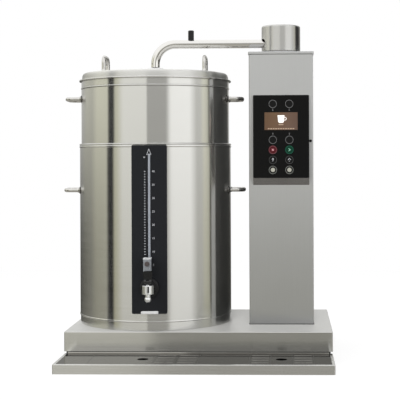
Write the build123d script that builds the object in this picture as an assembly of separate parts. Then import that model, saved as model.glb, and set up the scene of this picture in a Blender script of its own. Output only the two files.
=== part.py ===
from build123d import *
import os
from math import asin, cos, radians, sin, sqrt

# Column brewer for a buffet counter: a wide base, a drip tray, a column with a control panel, a
# swivelling hot-water pipe, and one insulated container with a filter basket and a lid.
#
# The pieces are built in the base's own frame: X to the right from the middle of the base, Y to the
# back from the base's front face, Z up from the counter. The container's pieces are built round
# their own axis, with the tap towards -Y, and turned into place. At the end everything moves so
# that the origin lies under the middle of the whole brewer, on the counter.

# Sheet and fits
sheet = 1.5              # folded and spun sheet
seat_gap = 0.3           # between pieces that lift or slide apart
slip_gap = 0.2           # round what is pushed into a hole and stays there
running_gap = 0.05       # radial gap of a turning fit

# Base, whose width and depth follow from what stands on it
container_side_gap = 6.8     # base's left side to the container
container_front_gap = 11.0
container_back_gap = 5.0
column_gap = 12.7            # container's grip to the column
column_side_gap = 48.0       # column to the base's right side
foot_height = 32.0       # counter to the cover's lower edge
cover_height = 54.0
cover_corner = 3.0
cover_edge = 2.0
floor_rise = 1.5         # floor plate above the cover's lower edge
foot_radius = 20.0
foot_pad_height = 14.0
foot_pad_edge = 2.8
foot_neck_radius = 9.0
stud_radius = 5.0
foot_inset_x = 48.0
foot_inset_front = 50.0
foot_inset_back = 40.0
nut_across_flats = 17.0
nut_height = 8.0
channel_width = 60.0
channel_length = 380.0
channel_pitch = 220.0
floor_slot_length = 90.0
floor_slot_width = 6.0
floor_slot_count = 7
floor_slot_pitch = 22.0

# Drip tray
tray_reach = 161.0       # in front of the base
tray_tuck = 12.0         # under the base's front edge
tray_height = 25.5
tray_rim = 8.0
tray_ledge = 7.0
tray_rail_inset = 6.0    # from the base's sides to the rail over the tray's rear edge
plate_setback = 1.0      # plate's rear edge in front of the base, so that it lifts out
tray_corner = 3.0
tray_edge = 1.6
drip_hole_radius = 15.0

# Column
column_width = 183.0
column_depth = 270.0
column_front = 140.0
column_corner = 3.0
gasket_height = 1.5
gasket_inset = 1.0
cap_height = 7.0
cap_overhang = 2.0
cap_corner = 4.0
cap_edge = 1.5
rear_return = 16.0       # sheet folded in behind the rear cover
rear_margin = 5.0        # rear cover inside the shell's outline
vent_length = 96.0
vent_height = 4.0
vent_pitch = 12.0
vent_count = 6
louvre_length = 60.0
louvre_height = 9.0
louvre_reach = 2.0
louvre_pitch = 19.0
louvre_count = 3
louvre_drop = 24.0       # top louvre below the shell's top
screw_radius = 2.0
screw_head_radius = 4.5
screw_head_height = 2.6
screw_head_edge = 1.0
screw_length = 9.0
screw_margin = 30.0      # from the rear cover's ends

# Control panel, tilted so that its lower edge stands further out
panel_width = 159.0
panel_height = 236.0
panel_drop = 116.0       # column's top to the panel's
panel_proud_top = 4.0
panel_proud_low = 18.0
overlay_thickness = 3.0
overlay_corner = 4.0
panel_wall = 4.0
chin_height = 20.0
window_margin = 9.0      # panel outline to the hole in the column behind it
display_width = 94.0
display_height = 50.0
display_rise = 43.6      # above the panel's middle
display_sunk = 0.3
display_flange = 2.0
display_flange_thickness = 1.0
display_module_depth = 8.0
key_radius = 12.0
key_pitch_x = 46.8
key_top_row = 93.0       # above the panel's middle
key_low_row = -9.4
key_row_pitch = 28.5
key_low_rows = 4
key_gap = 0.4
key_travel = 0.8
key_proud = 1.0
key_rim = 1.6
key_dish = 0.6
key_flange = 1.2
key_stem_radius = 3.0
board_width = 122.0
board_height = 204.0
board_thickness = 1.6
board_depth = 15.0       # overlay's back to the board
board_post_radius = 3.0
board_post_inset = 6.0
switch_width = 6.0
switch_height = 3.0
lock_radius = 4.0
lock_reach = 3.0
lock_rise = -12.8        # from the panel's middle

# Water system inside the column
boiler_radius = 78.0
boiler_height = 440.0
boiler_wall = 2.0
boiler_skirt_radius = 68.0
boiler_skirt_height = 10.0
element_radius = 4.0
element_span = 70.0
element_pitch = 50.0
element_drop = 330.0
element_bend = 31.5
element_flange_radius = 48.0
element_flange_thickness = 5.0
riser_radius = 11.0
riser_wall = 2.0
collar_radius = 15.0
collar_flange_radius = 32.0
collar_flange_height = 6.0
inlet_radius = 13.2      # three-quarter-inch pipe thread
inlet_neck = 12.0
inlet_bore = 9.0
inlet_reach = 24.0
inlet_z = 160.0
inlet_offset = -30.0
inlet_flange_radius = 18.0
inlet_flange_thickness = 3.0
valve_width = 34.0
valve_length = 46.0
valve_height = 30.0
coil_radius = 16.0
coil_height = 34.0
gland_radius = 12.0
gland_bore = 5.0
gland_reach = 20.0
gland_z = 118.0
gland_offset = 40.0

# Swivel arm
bearing_radius = 50.0
bearing_bore = 30.0
bearing_height = 7.0
drum_radius = 56.5
drum_height = 74.5
drum_wall = 2.0
drum_edge = 6.0
drum_slot_reach = 21.0  # pipe's hole, from the pipe's axis round to the front
hub_radius = 27.0
hub_socket = 10.0
hub_chamber = 42.0
stub_height = 17.0       # collar above the cap
pipe_radius = 12.5
pipe_wall = 1.5
pipe_rise = 23.7         # pipe axis above the drum's lower edge
arm_rise = 79.4          # pipe axis above the lid's top, which sets the column's height
pipe_bend = 58.0
spout_gap = 3.1          # pipe's end above the lid's hub
knob_x_from_spout = 105.0
knob_radius = 8.5
knob_height = 28.0
knob_edge = 3.0

# Container
container_turn = 2.0     # degrees, as it was set down
container_radius = 220.0
foot_ring_step = 1.0     # inside the shell's outside
foot_ring_height = 22.0
shell_height = 489.0
insulation_thickness = 10.0
vessel_rise = 8.0        # vessel floor above the shell's floor
rim_height = 5.0
rim_bead = 1.7
tap_z = 206.0
shank_radius = 10.0

# Side handles
grip_radius = 5.75
grip_reach = 44.5
grip_length = 100.0
grip_bend = 20.0
grip_foot_radius = 11.0
grip_foot_height = 11.0
grip_foot_hollow = 1.6    # arc of the flared foot below its chord
lower_grip_drop = 129.3  # below the shell's top
upper_grip_drop = 33.3   # below the basket's top

# Filter basket and its plate
basket_step = 4.5        # inside the shell's outside
basket_height = 162.7
spigot_gap = 7.0         # between the basket's spigot and the vessel
basket_spigot_height = 14.0
basket_floor_hole = 150.0
groove_depth = 3.0
groove_height = 3.0
plate_thickness = 1.5
slot_rings = 3
slot_ring_first = 45.0
slot_ring_pitch = 34.0
slots_per_ring = 12
slot_width = 4.0
slot_length = 24.0

# Lid
lid_skirt_height = 17.0
lid_lip_reach = 5.5
lid_lip_height = 4.0
lid_lip_roll = 0.8       # the lip's edge stands out in its middle
lid_dome_height = 28.0
shoulder_step = 2.0      # dome's foot inside the basket's outside
shoulder_width = 14.0
shoulder_height = 20.5   # of the dome's height
shoulder_fullness = 0.8  # how squarely the shoulder turns
lid_plug_gap = 3.0
lid_plug_depth = 12.0
lid_turn = -1.0          # degrees against the container
lid_hub_radius = 24.0
lid_hub_height = 9.0
lid_hub_bore = 15.0
lid_hub_flange = 4.0
hub_notches = 6
hub_notch_width = 12.0
hub_notch_height = 3.0
loop_spacing = 146.0     # from the lid's axis
loop_rise = 46.0         # above the lid's top

# Level gauge
gauge_width = 97.0
gauge_low = 134.0
gauge_drop = 0.8         # shell's top to the gauge's
gauge_proud = 7.0
gauge_corner = 4.0
gauge_edge = 1.4
gauge_notch_width = 48.0
gauge_notch_height = 7.6
gauge_notch_corner = 3.6
tube_radius = 3.5
tube_bore = 2.3
tube_height = 284.0
tube_proud = 1.5         # tube in front of the gauge's face
channel_gap = 1.0
fitting_width = 21.0
fitting_height = 39.0
fitting_low = 250.0
fitting_reach = 28.0
fitting_offset = -4.0
fitting_edge = 2.0
fitting_knob_radius = 6.6
fitting_knob_reach = 5.0
fitting_knob_rise = 23.4

# Tap
escutcheon_radius = 26.0
escutcheon_thickness = 9.0
barrel_radius = 15.5
barrel_height = 24.0
barrel_reach = 50.0      # barrel axis in front of the gauge's face
barrel_slot_width = 6.5
barrel_slot_height = 16.0
barrel_slot_depth = 2.0
water_bore = 6.0
seat_radius = 9.0
seat_rise = 6.0
seal_radius = 8.6
seal_height = 8.0
nozzle_neck_radius = 7.0
nozzle_ball_radius = 8.8
nozzle_ball_rise = 7.5
nozzle_height = 21.5
nozzle_bore = 4.0
tongue_width = 8.0
tongue_height = 15.0
tongue_depth = 12.0
pin_radius = 2.5
pin_rise = 9.0
lever_width = 21.0
lever_height = 30.0
lever_thickness = 7.0
lever_cheek_radius = 8.0
lever_flare = 5.0
tap_nut_radius = 17.0
tap_nut_height = 8.0

# Places and sizes that follow from the sizes above
base_width = (
    container_side_gap + 2 * container_radius + grip_reach + column_gap + column_width
    + column_side_gap
)
container_x = container_side_gap + container_radius - base_width / 2
container_y = container_front_gap + container_radius
base_depth = container_y + container_radius + container_back_gap
column_x = base_width / 2 - column_side_gap - column_width / 2
cover_low = foot_height
cover_top = cover_low + cover_height
floor_low = cover_low + floor_rise
floor_top = floor_low + sheet
foot_ring_low = cover_top + seat_gap
shell_low = foot_ring_low + foot_ring_height
shell_top = shell_low + shell_height
vessel_radius = container_radius - sheet - insulation_thickness
foot_ring_radius = container_radius - foot_ring_step
basket_radius = container_radius - basket_step
basket_spigot_radius = vessel_radius - sheet - spigot_gap
vessel_low = shell_low + sheet + vessel_rise
rim_top = shell_top + rim_height
basket_low = rim_top + seat_gap
basket_top = basket_low + basket_height
lid_low = basket_top + seat_gap
lid_lip_z = lid_low + lid_skirt_height
lid_top = lid_lip_z + lid_lip_height + lid_dome_height
lid_plug_radius = basket_radius - sheet - groove_depth - lid_plug_gap
lid_hole_radius = lid_hub_radius - lid_hub_flange
shoulder_radius = basket_radius - shoulder_step
pipe_z = lid_top + arm_rise
pipe_end_z = lid_top + lid_hub_height + spout_gap
drum_low = pipe_z - pipe_rise
cap_top = drum_low - seat_gap - bearing_height
cap_low = cap_top - cap_height
column_top = cap_low - gasket_height
column_height = column_top - cover_top
column_back = column_front + column_depth
panel_top = column_top - panel_drop
lower_grip_z = shell_top - lower_grip_drop
upper_grip_z = basket_top - upper_grip_drop
gauge_height = shell_top - gauge_drop - gauge_low
gauge_face = container_radius + gauge_proud
channel_depth = 2 * tube_radius - tube_proud + slip_gap
barrel_y = -(gauge_face + barrel_reach)
barrel_low = tap_z - barrel_height / 2
barrel_top = barrel_low + barrel_height
pin_z = barrel_top + pin_rise
fitting_top = fitting_low + fitting_height

# Places that several pieces share
swivel_x = column_x
swivel_y = container_y
panel_tilt = asin((panel_proud_low - panel_proud_top) / panel_height)
panel_out = Vector(0, -cos(panel_tilt), sin(panel_tilt))
panel_middle_z = panel_top - panel_height / 2 * cos(panel_tilt)
panel_plane = Plane(
    origin=(column_x, column_front - (panel_proud_top + panel_proud_low) / 2, panel_middle_z),
    x_dir=(1, 0, 0),
    z_dir=panel_out,
)
container_place = Location((container_x, container_y, 0), (0, 0, container_turn))
lid_place = container_place * Rot(0, 0, lid_turn)


def at_centre(x, y, low, height):
    """Place of a box or cylinder that stands on the height low."""
    return Pos(x, y, low + height / 2)


def standing_cylinder(radius, low, height, x=0.0, y=0.0):
    """Upright cylinder from low upwards."""
    return at_centre(x, y, low, height) * Cylinder(radius, height)


def standing_ring(outer, inner, low, height, x=0.0, y=0.0):
    """Upright tube from low upwards."""
    return standing_cylinder(outer, low, height, x, y) - standing_cylinder(inner, low, height, x, y)


def along_y(radius, front, length, x, z):
    """Cylinder that runs backwards from the plane y = front."""
    return Pos(x, front + length / 2, z) * Rot(90, 0, 0) * Cylinder(radius, length)


def spun(points):
    """Solid of revolution round Z of a closed outline in X and Z."""
    outline = make_face(Plane.XZ * Polyline(*points, close=True))
    return revolve(outline, Axis.Z)


def foot_points():
    """Middles of the four feet."""
    xs = (-base_width / 2 + foot_inset_x, base_width / 2 - foot_inset_x)
    ys = (foot_inset_front, base_depth - foot_inset_back)
    return [(x, y) for x in xs for y in ys]


def rear_screw_points():
    """Middles of the rear cover's screws, at both sides, in X and Z."""
    side = column_width / 2 - rear_return / 2 - sheet
    heights = (cover_top + screw_margin, cover_top + column_height / 2, column_top - screw_margin)
    return [(column_x + sign * side, z) for sign in (-1, 1) for z in heights]


def key_places():
    """Name and place on the panel of each key."""
    rows = [key_top_row] + [key_low_row - key_row_pitch * row for row in range(key_low_rows)]
    places = {}
    for number, height in enumerate(rows, start=1):
        places[f"key_{number}_left"] = (-key_pitch_x / 2, height)
        places[f"key_{number}_right"] = (key_pitch_x / 2, height)
    return places


# ---------------------------------------------------------------- base and drip tray


def base_cover():
    """Folded cover, open below, with rounded bends."""
    body = at_centre(0, base_depth / 2, cover_low, cover_height)
    body = body * Box(base_width, base_depth, cover_height)
    body = fillet(body.edges().filter_by(Axis.Z), cover_corner)
    body = fillet(body.faces().sort_by(Axis.Z)[-1].edges(), cover_edge)
    hollow_height = cover_height - sheet
    hollow = at_centre(0, base_depth / 2, cover_low, hollow_height)
    hollow = hollow * Box(base_width - 2 * sheet, base_depth - 2 * sheet, hollow_height)
    return body - hollow


def base_floor():
    """Floor plate with channels welded on under the container and a rail over the tray's rear."""
    inset = 2 * (sheet + slip_gap)
    plate = at_centre(0, base_depth / 2, floor_low, sheet)
    plate = plate * Box(base_width - inset, base_depth - inset, sheet)
    slots_middle = (floor_slot_count - 1) / 2
    for number in range(floor_slot_count):
        y = base_depth / 2 + (number - slots_middle) * floor_slot_pitch
        slot = at_centre(column_x, y, floor_low, sheet)
        plate -= slot * Box(floor_slot_length, floor_slot_width, sheet)
    height = cover_top - sheet - floor_top
    for sign in (-1, 1):
        x = container_x + sign * channel_pitch / 2
        channel = at_centre(x, base_depth / 2, floor_top, height)
        plate += channel * Box(channel_width, channel_length, height)
        inside = at_centre(x, base_depth / 2, floor_top, height - sheet)
        plate -= inside * Box(channel_width - 2 * sheet, channel_length, height - sheet)
    for x, y in foot_points():
        plate -= standing_cylinder(stud_radius + slip_gap, floor_low, sheet, x, y)
    rail_low = tray_height + seat_gap
    rail_depth = tray_tuck - 2 * sheet
    rail = at_centre(0, tray_tuck - rail_depth / 2, rail_low, floor_low - rail_low)
    return plate + rail * Box(base_width - 2 * tray_rail_inset, rail_depth, floor_low - rail_low)


def feet():
    """Rubber pads on threaded studs that reach through the floor plate."""
    pieces = []
    for x, y in foot_points():
        pad = standing_cylinder(foot_radius, 0, foot_pad_height, x, y)
        pad = fillet(pad.edges().filter_by(GeomType.CIRCLE), foot_pad_edge)
        neck = standing_cylinder(foot_neck_radius, 0, floor_low - seat_gap, x, y)
        stud = standing_cylinder(stud_radius, 0, floor_top + nut_height + 2 * sheet, x, y)
        pieces.append(pad + neck + stud)
    return Compound(children=pieces)


def foot_nuts():
    """Hexagon nuts that lock the feet on the floor plate."""
    corner_radius = nut_across_flats / 2 / cos(radians(30))
    nuts = []
    for x, y in foot_points():
        nut = extrude(Pos(x, y, floor_top) * RegularPolygon(corner_radius, 6), nut_height)
        nuts.append(nut - standing_cylinder(stud_radius + running_gap, floor_top, nut_height, x, y))
    return Compound(children=nuts)


def tray_opening(gap, low, height):
    """Block that fills the tray's opening between its rims, less a gap on all sides."""
    front = tray_rim - tray_reach + gap
    back = seat_gap - plate_setback - gap
    block = at_centre(0, (front + back) / 2, low, height)
    return block * Box(base_width - 2 * (tray_rim + gap), back - front, height)


def drip_tray():
    """Shallow pan with a broad rim and an inner ledge for the drip plate."""
    length = tray_reach + tray_tuck
    pan = at_centre(0, (tray_tuck - tray_reach) / 2, 0, tray_height)
    pan = pan * Box(base_width, length, tray_height)
    pan = fillet(pan.edges().filter_by(Axis.Z), tray_corner)
    pan = fillet(pan.faces().sort_by(Axis.Z)[-1].edges(), tray_edge)
    pan -= tray_opening(0, tray_height - sheet, sheet)
    return pan - tray_opening(tray_ledge, sheet, tray_height - 2 * sheet)


def drip_plate():
    """Polished plate flush with the tray's rim, with a round hole under tap and column."""
    low = tray_height - sheet
    plate = tray_opening(seat_gap, low, sheet)
    for x in (container_x, column_x):
        plate -= standing_cylinder(drip_hole_radius, low, sheet, x, -tray_reach / 2)
    return plate


# ---------------------------------------------------------------- column


def louvre_profile(depth, height):
    """Section of a louvre hood in X and Z, with its open side down."""
    return Plane.XZ * Polyline((0, height), (depth, 0), (-sheet, 0), (-sheet, height), close=True)


def side_louvres(side):
    """Hoods and the slots under them for one side of the column, as added and cut solids."""
    hoods = []
    slots = []
    for number in range(louvre_count):
        z = column_top - louvre_drop - number * louvre_pitch
        place = Pos(column_x + side * column_width / 2, swivel_y, z)
        turn = Rot(0, 0, 0 if side > 0 else 180)
        hood = extrude(make_face(louvre_profile(louvre_reach, louvre_height)), louvre_length / 2,
                       both=True)
        skin = sheet / 2
        slot = extrude(make_face(louvre_profile(louvre_reach - skin, louvre_height - 2 * skin)),
                       louvre_length / 2 - skin, both=True)
        hoods.append(place * turn * hood)
        slots.append(place * turn * slot)
    return hoods, slots


def column_shell():
    """Sheet wrapped round front and sides, with returns at the back and louvres near the top."""
    middle_y = column_front + column_depth / 2
    shell = at_centre(column_x, middle_y, cover_top, column_height)
    shell = shell * Box(column_width, column_depth, column_height)
    shell = fillet(shell.edges().filter_by(Axis.Z), column_corner)
    inside = at_centre(column_x, middle_y, cover_top, column_height)
    shell -= inside * Box(column_width - 2 * sheet, column_depth - 2 * sheet, column_height)
    opening = Pos(column_x, column_back - sheet / 2, cover_top + column_height / 2)
    opening_size = (column_width - 2 * rear_return, sheet, column_height - 2 * rear_return)
    shell -= opening * Box(*opening_size)
    panel_opening = Pos(column_x, column_front + sheet / 2, panel_middle_z)
    panel_opening = panel_opening * Box(
        panel_width - 2 * window_margin, sheet, panel_height - 2 * window_margin
    )
    shell -= panel_opening
    for x, z in rear_screw_points():
        shell -= along_y(screw_radius + slip_gap, column_back - sheet, sheet, x, z)
    for side in (-1, 1):
        hoods, slots = side_louvres(side)
        for hood, slot in zip(hoods, slots):
            shell = shell + hood - slot
    return shell


def rear_cover():
    """Flat service cover on the returns, with air slots and holes for the fittings."""
    cover = Pos(column_x, column_back + sheet / 2, cover_top + column_height / 2)
    cover = cover * Box(
        column_width - 2 * rear_margin, sheet, column_height - 2 * rear_margin
    )
    cover = fillet(cover.edges().filter_by(Axis.Y), column_corner)
    for x, z in rear_screw_points():
        cover -= along_y(screw_radius + slip_gap, column_back, sheet, x, z)
    for number in range(vent_count):
        for z in (
            column_top - 3 * rear_return - number * vent_pitch,
            inlet_z + 4 * rear_return + number * vent_pitch,
        ):
            cover -= Pos(column_x, column_back + sheet / 2, z) * Box(vent_length, sheet, vent_height)
    cover -= along_y(inlet_neck + slip_gap, column_back, sheet, column_x + inlet_offset, inlet_z)
    cover -= along_y(gland_radius + slip_gap, column_back, sheet, column_x + gland_offset, gland_z)
    return cover


def rear_screws():
    """Pan-head screws of the rear cover."""
    screws = []
    front = column_back + sheet
    for x, z in rear_screw_points():
        head = along_y(screw_head_radius, front, screw_head_height, x, z)
        head = fillet(head.edges().sort_by(Axis.Y)[-1], screw_head_edge)
        shank = along_y(screw_radius, front - screw_length, screw_length, x, z)
        screws.append(head + shank)
    return Compound(children=screws)


def cap_gasket():
    """Flat seal between the shell and the cap, a little inside both."""
    middle_y = column_front + column_depth / 2
    width = column_width - 2 * gasket_inset
    depth = column_depth - 2 * gasket_inset
    frame = at_centre(column_x, middle_y, column_top, gasket_height)
    frame = frame * Box(width, depth, gasket_height)
    inside = 2 * rear_return
    hole = at_centre(column_x, middle_y, column_top, gasket_height)
    return frame - hole * Box(column_width - inside, column_depth - inside, gasket_height)


def column_cap():
    """Cap plate, a little larger than the column, with the hole for the water collar."""
    width = column_width + 2 * cap_overhang
    depth = column_depth + 2 * cap_overhang
    cap = at_centre(column_x, column_front + column_depth / 2, cap_low, cap_height)
    cap = cap * Box(width, depth, cap_height)
    cap = fillet(cap.edges().filter_by(Axis.Z), cap_corner)
    cap = fillet(cap.faces().sort_by(Axis.Z)[-1].edges(), cap_edge)
    return cap - standing_cylinder(collar_radius + slip_gap, cap_low, cap_height, swivel_x, swivel_y)


# ---------------------------------------------------------------- control panel


def panel_housing():
    """Wedge of the tilted panel, with a chin below, open where the keys and the board go."""
    back = -overlay_thickness
    top = panel_plane.from_local_coords((0, panel_height / 2, back))
    low = panel_plane.from_local_coords((0, -panel_height / 2, back))
    section = Plane.YZ * Polyline(
        (column_front, top.Z), (top.Y, top.Z), (low.Y, low.Z), (column_front, low.Z - chin_height),
        close=True,
    )
    wedge = Pos(column_x, 0, 0) * extrude(make_face(section), panel_width / 2, both=True)
    depth = 2 * panel_proud_low
    hollow = Pos(0, 0, back - depth / 2) * Box(
        panel_width - 2 * panel_wall, panel_height - 2 * panel_wall, depth
    )
    return wedge - panel_plane.location * hollow


def panel_overlay():
    """Black front plate with round key holes and the display's opening."""
    plate = Pos(0, 0, -overlay_thickness / 2) * Box(panel_width, panel_height, overlay_thickness)
    plate = fillet(plate.edges().filter_by(Axis.Z), overlay_corner)
    for x, y in key_places().values():
        plate -= Pos(x, y, -overlay_thickness / 2) * Cylinder(
            key_radius + key_gap, overlay_thickness
        )
    plate -= Pos(0, display_rise, -overlay_thickness / 2) * Box(
        display_width + 2 * slip_gap, display_height + 2 * slip_gap, overlay_thickness
    )
    return panel_plane.location * plate


def display_window():
    """Window of the display, held by a flange behind the overlay."""
    depth = overlay_thickness - display_sunk
    pane = Pos(0, display_rise, -display_sunk - depth / 2) * Box(
        display_width, display_height, depth
    )
    flange = Pos(0, display_rise, -overlay_thickness - display_flange_thickness / 2) * Box(
        display_width + 2 * display_flange,
        display_height + 2 * display_flange,
        display_flange_thickness,
    )
    return panel_plane.location * (pane + flange)


def key_cap(x, y):
    """Round key with a raised rim, a flange behind the overlay and a stem to its switch."""
    rest = -overlay_thickness - seat_gap
    stem_end = -overlay_thickness - board_depth + switch_height + 2 * key_travel
    cap = Polyline(
        (0, stem_end),
        (key_stem_radius, stem_end),
        (key_stem_radius, rest - key_flange),
        (key_radius + 2 * key_gap, rest - key_flange),
        (key_radius + 2 * key_gap, rest),
        (key_radius, rest),
        (key_radius, key_proud - key_rim / 3),
        (key_radius - key_rim / 3, key_proud),
        (key_radius - key_rim, key_proud),
        (key_radius - key_rim - key_dish, key_proud - key_dish),
        (0, key_proud - key_dish),
        close=True,
    )
    solid = revolve(make_face(Plane.XZ * cap), Axis.Z)
    return panel_plane.location * Pos(x, y, 0) * solid


def control_board():
    """Board on four posts behind the overlay, with a switch under each key and the display."""
    front = -overlay_thickness - board_depth
    board = Pos(0, 0, front - board_thickness / 2) * Box(board_width, board_height, board_thickness)
    for x in (-1, 1):
        for y in (-1, 1):
            place = Pos(
                x * (board_width / 2 - board_post_inset),
                y * (board_height / 2 - board_post_inset / 2),
                front + board_depth / 2,
            )
            board += place * Cylinder(board_post_radius, board_depth)
    for x, y in key_places().values():
        switch = Pos(x, y, front + switch_height / 2)
        board += switch * Box(switch_width, switch_width, switch_height)
    module_back = -overlay_thickness - display_flange_thickness
    module = Pos(0, display_rise, module_back - display_module_depth / 2) * Box(
        display_width, display_height, display_module_depth
    )
    stand_depth = module_back - display_module_depth - front
    stand = Pos(0, display_rise, front + stand_depth / 2) * Box(
        display_width / 2, display_height / 2, stand_depth
    )
    return panel_plane.location * (board + module + stand)


def panel_lock():
    """Small round catch on the column, at the panel's right edge."""
    x = column_x + panel_width / 2 + lock_radius + slip_gap
    z = panel_middle_z + lock_rise
    lock = along_y(lock_radius, column_front - lock_reach, lock_reach, x, z)
    return fillet(lock.edges().sort_by(Axis.Y)[0], lock_reach / 3)


# ---------------------------------------------------------------- water system in the column


def boiler_tank():
    """Closed tank on a short skirt, round the swivel's axis."""
    low = cover_top + boiler_skirt_height
    tank = standing_cylinder(boiler_radius, low, boiler_height, swivel_x, swivel_y)
    inside_height = boiler_height - 2 * boiler_wall
    inside_radius = boiler_radius - boiler_wall
    tank -= standing_cylinder(inside_radius, low + boiler_wall, inside_height, swivel_x, swivel_y)
    skirt_inner = boiler_skirt_radius - boiler_wall
    skirt = standing_ring(
        boiler_skirt_radius, skirt_inner, cover_top, boiler_skirt_height, swivel_x, swivel_y
    )
    return tank + skirt


def heating_element():
    """Two hairpin heating rods that hang from a flange under the tank's top."""
    flange_low = (
        cover_top + boiler_skirt_height + boiler_height - boiler_wall - element_flange_thickness
    )
    element = standing_cylinder(
        element_flange_radius, flange_low, element_flange_thickness, swivel_x, swivel_y
    )
    half_span = element_span / 2
    for sign in (-1, 1):
        y = swivel_y + sign * element_pitch / 2
        path = FilletPolyline(
            (swivel_x - half_span, y, flange_low),
            (swivel_x - half_span, y, flange_low - element_drop),
            (swivel_x + half_span, y, flange_low - element_drop),
            (swivel_x + half_span, y, flange_low),
            radius=element_bend,
        )
        start = Plane(origin=path @ 0, z_dir=path % 0)
        element += sweep(start * Circle(element_radius), path)
    return element


def riser_pipe():
    """Pipe from the tank up to the cap, with the collar that the swivel arm turns on."""
    low = cover_top + boiler_skirt_height + boiler_height
    pipe = standing_cylinder(riser_radius, low, cap_low - low, swivel_x, swivel_y)
    collar_low = cap_low - collar_flange_height
    collar_height = cap_top + stub_height - collar_low
    pipe += standing_cylinder(collar_radius, collar_low, collar_height, swivel_x, swivel_y)
    pipe += standing_cylinder(
        collar_flange_radius, collar_low, collar_flange_height, swivel_x, swivel_y
    )
    bore_height = cap_top + stub_height - low
    return pipe - standing_cylinder(
        riser_radius - riser_wall, low, bore_height, swivel_x, swivel_y
    )


def water_inlet():
    """Threaded water connection outside the rear cover, on a neck with a flange inside."""
    x = column_x + inlet_offset
    flange_front = column_back - inlet_flange_thickness
    thread_front = column_back + sheet
    inlet = along_y(inlet_flange_radius, flange_front, inlet_flange_thickness, x, inlet_z)
    inlet += along_y(inlet_neck, column_back, sheet, x, inlet_z)
    inlet += along_y(inlet_radius, thread_front, inlet_reach, x, inlet_z)
    length = inlet_flange_thickness + sheet + inlet_reach
    return inlet - along_y(inlet_bore, flange_front, length, x, inlet_z)


def inlet_valve():
    """Solenoid valve between the water connection and the tank."""
    x = column_x + inlet_offset
    back = column_back - inlet_flange_thickness
    body = Pos(x, back - valve_length / 2, inlet_z) * Box(valve_width, valve_length, valve_height)
    coil_low = inlet_z + valve_height / 2
    body += standing_cylinder(coil_radius, coil_low, coil_height, x, back - valve_length / 2)
    offset = x - swivel_x
    tank_back = swivel_y + (boiler_radius**2 - offset**2) ** 0.5
    pipe_start = tank_back - riser_wall
    pipe = along_y(inlet_bore, pipe_start, back - valve_length - pipe_start, x, inlet_z)
    tank = standing_cylinder(
        boiler_radius + slip_gap, cover_top, boiler_height, swivel_x, swivel_y
    )
    return body + (pipe - tank)


def cable_gland():
    """Gland for the supply cord, through the rear cover."""
    x = column_x + gland_offset
    gland = along_y(gland_radius, column_back - sheet, gland_reach, x, gland_z)
    gland = chamfer(gland.edges().sort_by(Axis.Y)[-1], gland_radius / 4)
    gland += along_y(gland_radius + 3 * sheet, column_back + sheet, 3 * sheet, x, gland_z)
    return gland - along_y(gland_bore, column_back - sheet, gland_reach, x, gland_z)


# ---------------------------------------------------------------- swivel arm


def swivel_bearing():
    """Plastic slide ring on the cap, under the drum."""
    return standing_ring(
        bearing_radius, bearing_bore, cap_top, bearing_height, swivel_x, swivel_y
    )


def head_drum():
    """Spun drum that covers the swivel, open below, with the pipe's long hole in its side."""
    drum = standing_cylinder(drum_radius, drum_low, drum_height, swivel_x, swivel_y)
    drum = fillet(drum.edges().sort_by(Axis.Z)[-1], drum_edge)
    inside_height = drum_height - drum_wall
    inside = standing_cylinder(
        drum_radius - drum_wall, drum_low, inside_height, swivel_x, swivel_y
    )
    inside = fillet(inside.edges().sort_by(Axis.Z)[-1], drum_edge - drum_wall)
    drum -= inside
    across = 2 * (pipe_radius + slip_gap)
    slot_plane = Plane(
        origin=(swivel_x - drum_radius, swivel_y - drum_slot_reach / 2, pipe_z),
        x_dir=(0, 1, 0),
        z_dir=(1, 0, 0),
    )
    slot = slot_plane * SlotCenterToCenter(drum_slot_reach, across)
    return drum - extrude(slot, drum_radius / 3, both=True)


def swivel_hub():
    """Brass hub in the drum: it turns on the collar and takes the pipe at its side."""
    height = drum_height - drum_wall
    hub = standing_cylinder(hub_radius, drum_low, height, swivel_x, swivel_y)
    hub -= standing_cylinder(
        collar_radius + running_gap, drum_low, hub_chamber, swivel_x, swivel_y
    )
    socket = Pos(swivel_x - hub_radius + hub_socket / 2, swivel_y, pipe_z) * Rot(0, 90, 0)
    hub -= socket * Cylinder(pipe_radius + running_gap, hub_socket)
    passage = Pos(swivel_x - hub_radius / 2, swivel_y, pipe_z) * Rot(0, 90, 0)
    return hub - passage * Cylinder(pipe_radius - 2 * pipe_wall, hub_radius)


def swivel_pipe():
    """Bent water pipe from the hub to the middle of the lid."""
    path = FilletPolyline(
        (swivel_x - hub_radius + hub_socket - slip_gap, swivel_y, pipe_z),
        (container_x, swivel_y, pipe_z),
        (container_x, swivel_y, pipe_end_z),
        radius=pipe_bend,
    )
    section = Circle(pipe_radius) - Circle(pipe_radius - pipe_wall)
    start = Plane(origin=path @ 0, z_dir=path % 0)
    return sweep(start * section, path)


def arm_knob():
    """Black grip on top of the pipe, saddled onto it."""
    x = container_x + knob_x_from_spout
    height = pipe_radius + knob_height
    knob = standing_cylinder(knob_radius, pipe_z, height, x, swivel_y)
    knob = fillet(knob.edges().sort_by(Axis.Z)[-1], knob_edge)
    pipe = Pos(x, swivel_y, pipe_z) * Rot(0, 90, 0) * Cylinder(pipe_radius + slip_gap, 4 * knob_radius)
    return knob - pipe


# ---------------------------------------------------------------- container


def tap_hole():
    """Hole for the tap's shank through the container's front wall."""
    length = container_radius + 2 * gauge_proud
    return along_y(shank_radius + slip_gap, -length, length, 0, tap_z)


def foot_ring():
    """Ring that the container stands on, turned in at its foot."""
    inner = foot_ring_radius - sheet
    ring = spun([
        (inner - 4 * sheet, foot_ring_low),
        (foot_ring_radius, foot_ring_low),
        (foot_ring_radius, shell_low),
        (inner, shell_low),
        (inner, foot_ring_low + sheet),
        (inner - 4 * sheet, foot_ring_low + sheet),
    ])
    return container_place * ring


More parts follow.
